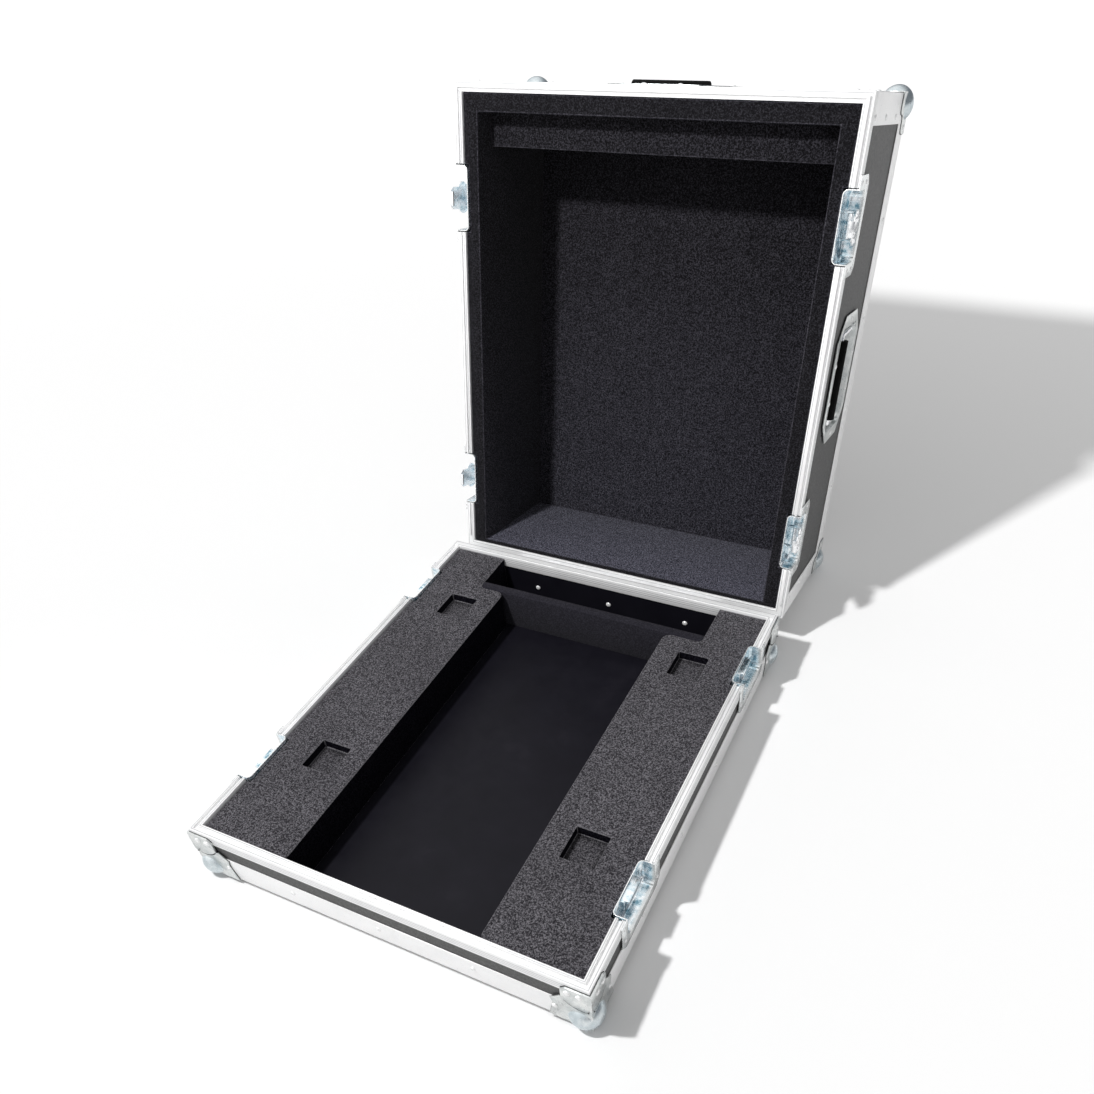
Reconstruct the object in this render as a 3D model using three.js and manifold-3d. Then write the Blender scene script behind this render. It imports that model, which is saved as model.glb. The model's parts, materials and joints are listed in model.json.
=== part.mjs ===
// Flight case for a mixing desk: a shallow base tray and a deep lid, standing open.
// Millimetres, +Z up. The case is drawn from the front left corner of its base rim,
// x to the right, y to the rear, z up, and moved to its reference point at the end.
// Each half is drawn the same way, as a tray whose rim plane is at zero and whose
// bottom lies below, so the lid is a tray turned over about the x axis.

import * as THREE from 'three';
import { mergeVertices } from 'three/addons/utils/BufferGeometryUtils.js';
import Module from 'manifold-3d';

const wasm = await Module();
wasm.setup();

// Overall size
const caseWidth = 560;
const caseLength = 672;
const baseDepth = 80;
const lidDepth = 234;

// Fits and cuts
const fitGap = 0.25;
const seamGap = 0.3;
const runningGap = 0.35;
const overrun = 2;

// Boards and edge metal
const metalThickness = 1.5;
const boardThickness = 9;
const rimOuterFlange = 17.5;
const rimInnerFlange = 20;
const baseRimWeb = 5.2;
const lidRimWeb = 2;
const angleLeg = 38.5;
const cornerAngleLeg = 34;

// Tongue on the lid rim, groove in the base rim, on the front and the sides only
const tongueWidth = 3;
const tongueHeight = 3;
const tongueClearance = 0.6;
const tongueEndClearance = 10;

// Ball corners and the braces above them
const ballRadius = 22;
const ballInset = 12.5;
const cornerReach = 46;
const cornerLobe = 24;
const cornerWaist = 26;
const cornerPlate = 1.5;
const wideReach = 53;
const wideStep = 47;
const wideStepHeight = 27;
const wideShoulder = 50;
const wideShoulderHeight = 38;
const braceProud = 1.2;
const ballRings = 12;
const ballSides = 20;
const braceTop = 5;
const braceWidth = 35;
const braceFoot = 41;
const braceChamfer = 6;
const braceSweep = 10;

// Latches
const latchFromHinge = 123;
const latchFromFront = 139;
const latchPlateLength = 112;
const latchPlateHeight = 50;
const latchPlateChamfer = 10;
const latchPocketLength = 80;
const latchPocketHeight = 36;
const latchPocketRadius = 9;
const rimEndGap = 1.5;
const sheetThickness = 1.2;
const dishDepth = 17;

// Hook plate, its knuckle and its nose
const hookWidth = 28;
const hookPlate = 2;
const hookPlane = 6.5;
const hookAxisHeight = 26;
const hookAxisDepth = 9;
const hookKnuckleRadius = 3;
const hookPinRadius = 1.4;
const hookNoseDepth = 4.5;
const hookNoseHeight = 4;
const hookNoseClearance = 0.9;
const hookShoulder = 5;
const hookReleaseAngle = 14;
const earThickness = 2;
const earHalfHeight = 3.5;

// Butterfly wing on the hook plate
const wingAxisHeight = 14;
const wingLength = 40;
const wingLobeRadius = 9;
const wingWaist = 6;
const wingThickness = 3;
const wingStudRadius = 3;
const wingHeadRadius = 5.2;
const wingHeadThickness = 0.8;
const wingRibHeight = 1.6;
const wingRibLength = 14;
const wingRibWidth = 3;

// Keeper shelf in the base half of a latch
const keeperTop = 4;
const keeperThickness = 4;
const keeperWidth = 34;
const keeperFace = 7.2;
const keeperCheek = 2.4;
const keeperCheekDrop = 15;

// Handles
const handleFromRim = 108;
const handlePlateLength = 172;
const handlePlateHeight = 130;
const handlePlateChamfer = 32;
const handlePocketLength = 140;
const handlePocketHeight = 96;
const handlePocketChamfer = 10;
const gripLength = 106;
const gripRadius = 9.5;
const gripSides = 18;
const gripHeight = -22;
const gripDepth = 3;
const bailRadius = 3.5;
const bailHalfSpan = 60;
const bailHingeHeight = 32;
const bailStub = 5.5;
const bailPinRadius = 2.5;
const bailEarThickness = 3;
const bailEarHalfHeight = 6;

// Hinges
const hingeFromSide = 105;
const hingeDrop = 28;
const hingeOffset = 2.5;
const hingeKnuckleRadius = 3.5;
const hingePinRadius = 2;
const hingeLeaf = 2;
const hingeKnuckles = 9;
const hingeLeafBottom = 68;
const hingeStrapTop = 45;
const hingeCornerRadius = 8;

// Foam in the base
const foamTopBelowRim = 5;
const foamInset = 0.5;
const leftFoamWidth = 143;
const leftFoamRearWidth = 99;
const rightFoamWidth = 143;
const rightFoamRearWidth = 86;
const rearFoamLength = 95;
const foamShoulderRadius = 12;
const foamCornerRadius = 9;
const foamFilletRadius = 8;
const rearPartition = 15;
const foamPocketLength = 50;
const foamPocketWidth = 46;
const foamPocketDepth = 14;
const leftPocketFromSide = 88;
const rightPocketFromSide = 86;
const pocketFromFront = 174;
const pocketFromRear = 150;
const foamNotchClearance = 1;

// Foam in the lid
const liningThickness = 21.5;
const liningRearThickness = 6;
const liningBelowRim = 3;
const lidPadThickness = 22.5;
const ledgeWidth = 41;
const ledgeFromRim = 40;

// Shares, angles in degrees and step counts
const halfShare = 0.5;
const halfTurn = 180;
const quarterTurn = 90;
const waistShare = 0.45;
const arcSteps = 5;
const roundSides = 20;
const boreSides = 12;
const mergeTolerance = 1e-4;

const radians = THREE.MathUtils.degToRad;

// Values that follow from the sizes above
const boardFace = metalThickness + fitGap;
const boardBack = boardFace + boardThickness;
const rimWidth = boardBack + fitGap + metalThickness;
const panelEdge = boardBack + fitGap;
const panWall = sheetThickness;
const plateOuter = fitGap + sheetThickness;
const latchPocketHalf = latchPocketLength * halfShare;
const latchPanHalf = latchPocketHalf + panWall;
const latchPanHeight = latchPocketHeight + panWall;
const panBack = dishDepth + panWall;
const handlePanHalfLength = handlePocketLength * halfShare + panWall;
const handlePanHalfHeight = handlePocketHeight * halfShare + panWall;
const groovePlane = rimWidth * halfShare;
const handleFromHinge = caseLength * halfShare;
const hingeWidth = caseWidth - hingeFromSide - hingeFromSide;
const hingeMiddle = caseWidth * halfShare;
const foamShoulder = caseLength - rearFoamLength;
const pocketCentres = [pocketFromFront, caseLength - pocketFromRear];
const basePanelTop = baseDepth - boardFace - boardThickness;
const lidPanelTop = lidDepth - boardFace - boardThickness;

// The lid leans back until its two rear ball corners touch the ground the base stands on.
const ballProud = ballRadius - ballInset;
const ballFromPin = hingeOffset + ballInset;
const ballBelowPin = hingeDrop + seamGap + lidDepth - ballInset;
const pinAboveBall = baseDepth - ballInset - hingeDrop;
const leanReach = Math.hypot(ballFromPin, ballBelowPin);
const lean = Math.acos(-pinAboveBall / leanReach) - Math.atan2(ballBelowPin, ballFromPin);
const openAngle = radians(quarterTurn) + lean;

// Materials
function finish(color, roughness, metalness) {
  return () => new THREE.MeshStandardMaterial({ color, roughness, metalness });
}
const laminate = finish(0x5f5e5c, 0.55, 0);
const aluminium = finish(0xd6d7d8, 0.35, 1);
const zinc = finish(0x9aa4ac, 0.3, 1);
const blueZinc = finish(0x8f9db4, 0.3, 1);
const steel = finish(0xb4b8bd, 0.3, 1);
const baseFoam = finish(0x4b4a50, 0.95, 0);
const lidFoam = finish(0x2b2a30, 0.95, 0);
const rubber = finish(0x161617, 0.8, 0);

// Solids: geometry to manifold and back
function solid(geometry) {
  const plain = geometry.index ? geometry.toNonIndexed() : geometry.clone();
  plain.deleteAttribute('normal');
  plain.deleteAttribute('uv');
  const merged = mergeVertices(plain, mergeTolerance);
  const mesh = new wasm.Mesh({
    numProp: 3,
    vertProperties: new Float32Array(merged.attributes.position.array),
    triVerts: new Uint32Array(merged.index.array),
  });
  return new wasm.Manifold(mesh);
}

function geometryOf(body) {
  const mesh = body.getMesh();
  const geometry = new THREE.BufferGeometry();
  geometry.setAttribute('position', new THREE.BufferAttribute(mesh.vertProperties, 3));
  geometry.setIndex(new THREE.BufferAttribute(mesh.triVerts, 1));
  return geometry;
}

function join(...parts) {
  return parts.reduce((sum, part) => sum.add(part));
}

function cut(body, ...tools) {
  return tools.reduce((rest, tool) => rest.subtract(tool), body);
}

// A block between two corners
function block(x0, x1, y0, y1, z0, z1) {
  const geometry = new THREE.BoxGeometry(x1 - x0, y1 - y0, z1 - z0);
  geometry.translate((x0 + x1) * halfShare, (y0 + y1) * halfShare, (z0 + z1) * halfShare);
  return solid(geometry);
}

const xAxis = new THREE.Vector3(1, 0, 0);
const yAxis = new THREE.Vector3(0, 1, 0);
const zAxis = new THREE.Vector3(0, 0, 1);

// An outline in the plane of two axes, extruded along the third that makes a right-handed set
function slabOn(shape, from, to, across, up) {
  const geometry = new THREE.ExtrudeGeometry(shape, {
    depth: to - from,
    bevelEnabled: false,
    curveSegments: arcSteps,
  });
  geometry.translate(0, 0, from);
  const through = new THREE.Vector3().crossVectors(across, up);
  geometry.applyMatrix4(new THREE.Matrix4().makeBasis(across, up, through));
  return solid(geometry);
}

function slab(shape, z0, z1) {
  return slabOn(shape, z0, z1, xAxis, yAxis);
}

// An outline in the plane of x and z, between two places along y
function uprightSlab(shape, y0, y1) {
  return slabOn(shape, -y1, -y0, xAxis, zAxis);
}

// A round bar along x, y or z between two places on its axis
function bar(axis, radius, from, to, centre, sides = roundSides) {
  const geometry = new THREE.CylinderGeometry(radius, radius, to - from, sides);
  if (axis === 'x') geometry.rotateZ(-radians(quarterTurn));
  if (axis === 'z') geometry.rotateX(radians(quarterTurn));
  const middle = (from + to) * halfShare;
  if (axis === 'x') geometry.translate(middle, centre[0], centre[1]);
  if (axis === 'y') geometry.translate(centre[0], middle, centre[1]);
  if (axis === 'z') geometry.translate(centre[0], centre[1], middle);
  return solid(geometry);
}

function polygon(points) {
  return new THREE.Shape(points.map(([x, y]) => new THREE.Vector2(x, y)));
}

function rectangle(x0, x1, y0, y1) {
  return polygon([[x0, y0], [x1, y0], [x1, y1], [x0, y1]]);
}

// A rectangular ring that follows the case outline between two distances inside it
function ring(outer, inner, z0, z1) {
  const shape = rectangle(outer, caseWidth - outer, outer, caseLength - outer);
  shape.holes.push(rectangle(inner, caseWidth - inner, inner, caseLength - inner));
  return slab(shape, z0, z1);
}

function mesh(name, body, material) {
  const piece = new THREE.Mesh(geometryOf(body), material());
  piece.name = name;
  return piece;
}

// Places of the latches along a half, given the end where the hinges are
function latchPlaces(hingeAtRear) {
  const places = [latchFromHinge, caseLength - latchFromFront];
  return places.map((place) => (hingeAtRear ? caseLength - place : place));
}

// Boards
function sideWallSolid(side, depth, web, latchYs, openings) {
  const [x0, x1] = side === 'left'
    ? [boardFace, boardBack]
    : [caseWidth - boardBack, caseWidth - boardFace];
  const bottom = -(depth - boardFace);
  let board = block(x0, x1, boardFace, caseLength - boardFace, bottom, -(web + fitGap));
  for (const y of latchYs) {
    const half = latchPanHalf + fitGap;
    const low = -(latchPanHeight + fitGap);
    board = cut(board, block(x0 - overrun, x1 + overrun, y - half, y + half, low, overrun));
  }
  return cut(board, ...openings);
}

function endWallSolid(end, depth, web, openings) {
  const [y0, y1] = end === 'near'
    ? [boardFace, boardBack]
    : [caseLength - boardBack, caseLength - boardFace];
  const bottom = -(depth - boardFace);
  const board = block(panelEdge, caseWidth - panelEdge, y0, y1, bottom, -(web + fitGap));
  return cut(board, ...openings);
}

// The panel is rebated round its edge, so that its outer face lies flush with the edge angle
function panelSolid(depth) {
  const edge = panelEdge;
  const bottom = -(depth - boardFace);
  const top = bottom + boardThickness;
  const field = angleLeg + fitGap;
  return join(
    block(edge, caseWidth - edge, edge, caseLength - edge, bottom, top),
    block(field, caseWidth - field, field, caseLength - field, -depth, top),
  );
}

// Rim extrusion: a channel over the board edge, with a groove or a tongue
function rimRing(web) {
  return join(
    ring(0, rimWidth, -web, 0),
    ring(0, metalThickness, -rimOuterFlange, -web + fitGap),
    ring(rimWidth - metalThickness, rimWidth, -rimInnerFlange, -web + fitGap),
  );
}

// The groove runs round three sides, from one rear corner to the other
function grooveSolid(hingeAtRear) {
  const half = tongueWidth * halfShare + tongueClearance;
  const inner = groovePlane + half;
  const outer = groovePlane - half;
  const path = ring(outer, inner, -(tongueHeight + tongueClearance), overrun);
  const clear = rimWidth;
  const keep = hingeAtRear
    ? block(0, caseWidth, 0, caseLength - clear, -baseDepth, overrun)
    : block(0, caseWidth, clear, caseLength, -baseDepth, overrun);
  return path.intersect(keep);
}

// The tongue stops short of the latches and of the hinged end
function tongueSolid() {
  const half = tongueWidth * halfShare;
  const path = ring(groovePlane - half, groovePlane + half, -fitGap, tongueHeight);
  const start = rimWidth + tongueEndClearance;
  return path.intersect(block(0, caseWidth, start, caseLength, -overrun, tongueHeight));
}

// The rim comes in four lengths, parted at the latches
function rimPieces(whole, latchYs) {
  const [first, second] = [...latchYs].sort((a, b) => a - b);
  const half = latchPanHalf + rimEndGap;
  const low = -rimInnerFlange - overrun;
  const high = tongueHeight + overrun;
  const x0 = -overrun;
  const x1 = caseWidth + overrun;
  const middle = caseWidth * halfShare;
  return {
    near: whole.intersect(block(x0, x1, -overrun, first - half, low, high)),
    far: whole.intersect(block(x0, x1, second + half, caseLength + overrun, low, high)),
    left: whole.intersect(block(x0, middle, first + half, second - half, low, high)),
    right: whole.intersect(block(middle, x1, first + half, second - half, low, high)),
  };
}

// Angle extrusion round the bottom edge of a half
function edgeAngleSolid(depth) {
  return join(
    ring(0, metalThickness, -depth, -(depth - angleLeg)),
    ring(0, angleLeg, -depth, -depth + metalThickness),
  );
}

// Upright angle on each corner of the lid
function cornerAngles() {
  const top = -(rimOuterFlange + fitGap);
  const low = -(lidDepth - angleLeg) - overrun;
  const outside = ring(0, metalThickness, low, top);
  const leg = cornerAngleLeg;
  const alongX = block(leg, caseWidth - leg, -overrun, caseLength + overrun, low, top);
  const alongY = block(-overrun, caseWidth + overrun, leg, caseLength - leg, low, top);
  return cut(outside, alongX, alongY);
}

// Ball corner, drawn where the three outer faces of a half meet, with the half on the positive side
function cornerPlateShape() {
  const tip = cornerLobe * waistShare;
  const neck = cornerWaist + tip;
  const shape = new THREE.Shape();
  shape.moveTo(-ballProud, -ballProud);
  shape.lineTo(cornerReach, -ballProud);
  shape.lineTo(cornerReach, tip);
  shape.quadraticCurveTo(cornerReach, cornerLobe, neck, cornerLobe);
  shape.quadraticCurveTo(cornerLobe, cornerLobe, cornerLobe, neck);
  shape.quadraticCurveTo(cornerLobe, cornerReach, tip, cornerReach);
  shape.lineTo(-ballProud, cornerReach);
  shape.closePath();
  return shape;
}

// The wide plate on the upright faces of the base, with a step at the height of the edge angle
function widePlateShape() {
  return polygon([
    [-ballProud, -ballProud], [wideReach, -ballProud], [wideReach, 0],
    [wideStep, wideStepHeight], [wideShoulder, wideShoulderHeight],
    [wideShoulderHeight, wideShoulder], [wideStepHeight, wideStep],
    [0, wideReach], [-ballProud, wideReach],
  ]);
}

function cornerSolid(withBrace) {
  const low = -(fitGap + cornerPlate);
  const limit = caseWidth * halfShare;
  const sphere = new THREE.SphereGeometry(ballRadius, ballSides, ballRings);
  sphere.translate(ballInset, ballInset, ballInset);
  const upright = withBrace ? widePlateShape() : cornerPlateShape();
  const plates = [
    slabOn(cornerPlateShape(), low, 0, xAxis, yAxis),
    slabOn(upright, low, 0, yAxis, zAxis),
    slabOn(upright, low, 0, zAxis, xAxis),
  ];
  const shell = block(low, limit, low, limit, low, limit);
  let body = join(join(...plates).intersect(shell), solid(sphere));
  if (withBrace) body = join(body, ...braceSolids(low - braceProud));
  return cut(body, block(-fitGap, limit, -fitGap, limit, -fitGap, limit));
}

// Brace folded round the upright edge, from the rim down to its foot on the ball corner's plate
function braceSolids(low) {
  const top = baseDepth - braceTop;
  const bottom = braceFoot;
  const shape = new THREE.Shape();
  shape.moveTo(low, top);
  shape.lineTo(braceWidth - braceChamfer, top);
  shape.lineTo(braceWidth, top - braceChamfer);
  shape.lineTo(braceWidth, bottom + braceSweep);
  shape.quadraticCurveTo(braceWidth * halfShare, bottom - braceSweep, low, bottom);
  shape.closePath();
  return [slabOn(shape, 0, -low, xAxis, zAxis), slabOn(shape, low, 0, yAxis, zAxis)];
}

// Latches, drawn on a wall: x along it, y away from the rim, z out of the wall
function pocketShape(halfLength, height, radius) {
  const shape = new THREE.Shape();
  shape.moveTo(-halfLength, -overrun);
  shape.lineTo(halfLength, -overrun);
  shape.lineTo(halfLength, height - radius);
  shape.absarc(halfLength - radius, height - radius, radius, 0, Math.PI * halfShare);
  shape.lineTo(-halfLength + radius, height);
  shape.absarc(-halfLength + radius, height - radius, radius, Math.PI * halfShare, Math.PI);
  shape.closePath();
  return shape;
}

function latchDish() {
  const half = latchPlateLength * halfShare;
  const high = latchPlateHeight;
  const corner = latchPlateChamfer;
  const plate = slab(polygon([
    [-half, 0], [half, 0], [half, high - corner], [half - corner, high],
    [-half + corner, high], [-half, high - corner],
  ]), fitGap, plateOuter);
  const radius = latchPocketRadius;
  const pan = slab(pocketShape(latchPanHalf, latchPanHeight, radius + panWall), -panBack, plateOuter);
  const pocket = slab(pocketShape(latchPocketHalf, latchPocketHeight, radius), -dishDepth, overrun + plateOuter);
  const above = block(-half - overrun, half + overrun, 0, high + overrun, -panBack - overrun, plateOuter + overrun);
  return cut(join(plate, pan), pocket).intersect(above);
}

// The lid half carries the hook on a pin between two ears
function latchLidDish() {
  const inner = hookWidth * halfShare + runningGap;
  const outer = inner + earThickness;
  const y0 = hookAxisHeight - earHalfHeight;
  const y1 = hookAxisHeight + earHalfHeight;
  const z0 = -dishDepth - panWall * halfShare;
  const z1 = -hookAxisDepth + earHalfHeight;
  const pinEnd = outer - earThickness * halfShare;
  return join(
    latchDish(),
    block(-outer, -inner, y0, y1, z0, z1),
    block(inner, outer, y0, y1, z0, z1),
    bar('x', hookPinRadius, -pinEnd, pinEnd, [hookAxisHeight, -hookAxisDepth], boreSides),
  );
}

// The base half carries the shelf that the nose of the hook catches under
function latchKeeperDish() {
  const half = keeperWidth * halfShare;
  const z0 = -dishDepth - panWall * halfShare;
  const shelfEnd = keeperTop + keeperThickness;
  const cheekEnd = keeperTop + keeperCheekDrop;
  const cheekFace = -(keeperFace + dishDepth) * halfShare;
  return join(
    latchDish(),
    block(-half, half, keeperTop, shelfEnd, z0, -keeperFace),
    block(-half - keeperCheek, -half, keeperTop, cheekEnd, z0, cheekFace),
    block(half, half + keeperCheek, keeperTop, cheekEnd, z0, cheekFace),
  );
}

// Hook plate, drawn about its pin
function hookSolid() {
  const half = hookWidth * halfShare;
  const inner = hookAxisDepth - hookPlane;
  const outer = inner + hookPlate;
  const noseTop = -(hookAxisHeight + keeperTop + keeperThickness + seamGap + hookNoseClearance);
  const noseEnd = noseTop - hookNoseHeight;
  const shoulder = hookShoulder;
  const plate = slab(polygon([
    [-half, 0], [-half, noseEnd + shoulder], [-half + shoulder, noseEnd],
    [half - shoulder, noseEnd], [half, noseEnd + shoulder], [half, 0],
  ]), inner, outer);
  const nose = block(-half + shoulder, half - shoulder, noseEnd, noseTop, inner - hookNoseDepth, outer);
  const knuckle = bar('x', hookKnuckleRadius, -half, half, [0, 0], boreSides);
  const bore = bar('x', hookPinRadius + runningGap, -half - overrun, half + overrun, [0, 0], boreSides);
  const y = wingAxisHeight - hookAxisHeight;
  const headTop = outer + runningGap * 2 + wingThickness + wingHeadThickness;
  const stud = bar('z', wingStudRadius, inner, headTop, [0, y]);
  const head = bar('z', wingHeadRadius, headTop - wingHeadThickness, headTop, [0, y]);
  return join(cut(join(plate, knuckle), bore), nose, stud, head);
}

// Butterfly wing, drawn about its stud, lying on the hook plate
function wingSolid() {
  const reach = wingLength * halfShare - wingLobeRadius;
  const top = wingThickness;
  const lobes = [-reach, reach].map((x) => bar('z', wingLobeRadius, 0, top, [x, 0]));
  const waist = block(-reach, reach, -wingWaist, wingWaist, 0, top);
  const bore = bar('z', wingStudRadius + runningGap, -overrun, top + overrun, [0, 0]);
  const ribStart = wingLength * halfShare - wingRibLength;
  const ribEnd = wingLength * halfShare - wingRibWidth;
  const rib = wingRibWidth * halfShare;
  const ribTop = top + wingRibHeight;
  return join(
    cut(join(...lobes, waist), bore),
    block(-ribEnd, -ribStart, -rib, rib, top * halfShare, ribTop),
    block(ribStart, ribEnd, -rib, rib, top * halfShare, ribTop),
  );
}

// Handles, drawn on a wall about the centre of the dish
function hexagon(halfLength, halfHeight, corner) {
  return polygon([
    [-halfLength, -halfHeight + corner], [-halfLength + corner, -halfHeight],
    [halfLength - corner, -halfHeight], [halfLength, -halfHeight + corner],
    [halfLength, halfHeight - corner], [halfLength - corner, halfHeight],
    [-halfLength + corner, halfHeight], [-halfLength, halfHeight - corner],
  ]);
}

function handleDish() {
  const plate = slab(
    hexagon(handlePlateLength * halfShare, handlePlateHeight * halfShare, handlePlateChamfer),
    fitGap,
    plateOuter,
  );
  const pan = slab(
    hexagon(handlePanHalfLength, handlePanHalfHeight, handlePocketChamfer),
    -panBack,
    plateOuter,
  );
  const pocket = slab(
    hexagon(handlePocketLength * halfShare, handlePocketHeight * halfShare, handlePocketChamfer),
    -dishDepth,
    plateOuter + overrun,
  );
  const inner = bailHalfSpan + bailRadius + runningGap;
  const outer = inner + bailEarThickness;
  const y0 = bailHingeHeight - bailEarHalfHeight;
  const y1 = Math.min(bailHingeHeight + bailEarHalfHeight, handlePocketHeight * halfShare);
  const z0 = -dishDepth - panWall * halfShare;
  const bore = bar(
    'x',
    bailPinRadius + runningGap,
    -outer - overrun,
    outer + overrun,
    [bailHingeHeight, -gripDepth],
    boreSides,
  );
  const ears = join(
    block(-outer, -inner, y0, y1, z0, plateOuter),
    block(inner, outer, y0, y1, z0, plateOuter),
  );
  return join(cut(join(plate, pan), pocket), cut(ears, bore));
}

// Steel bail with its rubber grip, drawn about the bail's hinge line
function gripSolid() {
  const y = gripHeight - bailHingeHeight;
  const span = bailHalfSpan;
  const parts = [
    bar('x', bailRadius, -span, span, [y, 0], boreSides),
    bar('x', gripRadius, -gripLength * halfShare, gripLength * halfShare, [y, 0], gripSides),
  ];
  for (const side of [-1, 1]) {
    const x = side * span;
    const elbow = new THREE.SphereGeometry(bailRadius, boreSides, boreSides * halfShare);
    elbow.translate(x, y, 0);
    const shoulder = new THREE.SphereGeometry(bailRadius, boreSides, boreSides * halfShare);
    shoulder.translate(x, 0, 0);
    const stubEnd = span + bailRadius + bailStub;
    parts.push(bar('y', bailRadius, y, 0, [x, 0], boreSides), solid(elbow), solid(shoulder));
    parts.push(side > 0
      ? bar('x', bailPinRadius, span, stubEnd - bailEarThickness, [0, 0], boreSides)
      : bar('x', bailPinRadius, -stubEnd + bailEarThickness, -span, [0, 0], boreSides));
  }
  return join(...parts);
}

// Hinges, drawn about the pin, with the rear face of the base in front of it
function hingeKnuckleSpans(first) {
  const pitch = hingeWidth / hingeKnuckles;
  const start = -hingeWidth * halfShare;
  const spans = [];
  for (let i = first; i < hingeKnuckles; i += 2) {
    spans.push([start + i * pitch, start + (i + 1) * pitch]);
  }
  return spans;
}

function leafShape(halfWidth, z0, z1, radius) {
  const shape = new THREE.Shape();
  shape.moveTo(-halfWidth, z1);
  shape.lineTo(-halfWidth, z0 + radius);
  shape.absarc(-halfWidth + radius, z0 + radius, radius, Math.PI, Math.PI * (1 + halfShare));
  shape.lineTo(halfWidth - radius, z0);
  shape.absarc(halfWidth - radius, z0 + radius, radius, Math.PI * (1 + halfShare), Math.PI * 2);
  shape.lineTo(halfWidth, z1);
  shape.closePath();
  return shape;
}

function hingeLeafSolid(hasPin, length, first) {
  const half = hingeWidth * halfShare;
  const y0 = -hingeOffset + fitGap;
  const y1 = y0 + hingeLeaf;
  let body = uprightSlab(leafShape(half, -length, 0, hingeCornerRadius), y0, y1);
  const clear = hingeKnuckleRadius + runningGap;
  const bore = bar('x', hingePinRadius + runningGap, -half - overrun, half + overrun, [0, 0], boreSides);
  for (const [x0, x1] of hingeKnuckleSpans(1 - first)) {
    body = cut(body, block(x0 - runningGap, x1 + runningGap, -half, half, -clear, clear));
  }
  const knuckles = hingeKnuckleSpans(first).map(([x0, x1]) => {
    const from = x0 + (x0 > -half ? 0 : runningGap);
    const to = x1 - (x1 < half ? 0 : runningGap);
    return bar('x', hingeKnuckleRadius, from, to, [0, 0], boreSides);
  });
  body = join(body, ...knuckles);
  if (hasPin) return join(body, bar('x', hingePinRadius, -half + runningGap, half - runningGap, [0, 0], boreSides));
  return cut(body, bore);
}

// Foam
function foamFloor() {
  return -basePanelTop + fitGap;
}

function latchNotches(latchYs) {
  const inner = panBack + foamNotchClearance;
  const half = latchPanHalf + foamNotchClearance;
  const low = -(latchPanHeight + foamNotchClearance);
  return latchYs.flatMap((y) => [
    block(-overrun, inner, y - half, y + half, low, overrun),
    block(caseWidth - inner, caseWidth + overrun, y - half, y + half, low, overrun),
  ]);
}

function foamPockets(centreX) {
  const halfX = foamPocketWidth * halfShare;
  const halfY = foamPocketLength * halfShare;
  const low = -(foamTopBelowRim + foamPocketDepth);
  return pocketCentres.map((y) => block(centreX - halfX, centreX + halfX, y - halfY, y + halfY, low, overrun));
}

// A side block drawn from its own outer edge: wide in front, narrow beside the cable space
function sideFoamShape(width, rearWidth) {
  const inset = rimWidth + foamInset;
  const quarter = Math.PI * halfShare;
  const corner = foamCornerRadius;
  const shoulder = foamShoulderRadius;
  const fillet = foamFilletRadius;
  const shape = new THREE.Shape();
  shape.moveTo(inset, inset);
  shape.lineTo(width - corner, inset);
  shape.absarc(width - corner, inset + corner, corner, -quarter, 0);
  shape.lineTo(width, foamShoulder - shoulder);
  shape.absarc(width - shoulder, foamShoulder - shoulder, shoulder, 0, quarter);
  shape.lineTo(rearWidth + fillet, foamShoulder);
  shape.absarc(rearWidth + fillet, foamShoulder + fillet, fillet, -quarter, -Math.PI, true);
  shape.lineTo(rearWidth, caseLength - inset);
  shape.lineTo(inset, caseLength - inset);
  shape.closePath();
  return shape;
}

// Each side block is two lengths that meet between its pockets
function sideFoamSolid(side, end, latchYs) {
  const left = side === 'left';
  const seam = caseLength * halfShare;
  const span = end === 'front' ? [0, seam - fitGap] : [seam, caseLength];
  const width = left ? leftFoamWidth : rightFoamWidth;
  const rearWidth = left ? leftFoamRearWidth : rightFoamRearWidth;
  const fromSide = left ? leftPocketFromSide : rightPocketFromSide;
  const whole = slab(sideFoamShape(width, rearWidth), foamFloor(), -foamTopBelowRim)
    .intersect(block(0, caseWidth, ...span, -baseDepth, 0));
  const body = cut(whole, ...foamPockets(fromSide), ...latchNotches(latchYs));
  return left ? body : body.mirror([1, 0, 0]).translate([caseWidth, 0, 0]);
}

// The partition between the side blocks, its front corners rounded to lie in their fillets
function baseFoamPartition() {
  const x0 = leftFoamRearWidth + fitGap;
  const x1 = caseWidth - rightFoamRearWidth - fitGap;
  const y0 = foamShoulder + fitGap;
  const y1 = y0 + rearPartition;
  const quarter = Math.PI * halfShare;
  const radius = foamFilletRadius - fitGap;
  const shape = new THREE.Shape();
  shape.moveTo(x0 + radius, y0);
  shape.lineTo(x1 - radius, y0);
  shape.absarc(x1 - radius, y0 + radius, radius, -quarter, 0);
  shape.lineTo(x1, y1);
  shape.lineTo(x0, y1);
  shape.lineTo(x0, y0 + radius);
  shape.absarc(x0 + radius, y0 + radius, radius, Math.PI, Math.PI + quarter);
  shape.closePath();
  return slab(shape, foamFloor(), -foamTopBelowRim);
}

function handleNotches() {
  const inner = panBack + foamNotchClearance;
  const along = handlePanHalfLength + foamNotchClearance;
  const z0 = -(handleFromRim + handlePanHalfHeight + foamNotchClearance);
  const z1 = -(handleFromRim - handlePanHalfHeight - foamNotchClearance);
  const u0 = handleFromHinge - along;
  const u1 = handleFromHinge + along;
  const middle = caseWidth * halfShare;
  return [
    block(-overrun, inner, u0, u1, z0, z1),
    block(caseWidth - inner, caseWidth + overrun, u0, u1, z0, z1),
    block(middle - along, middle + along, caseLength - inner, caseLength + overrun, z0, z1),
  ];
}

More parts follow.
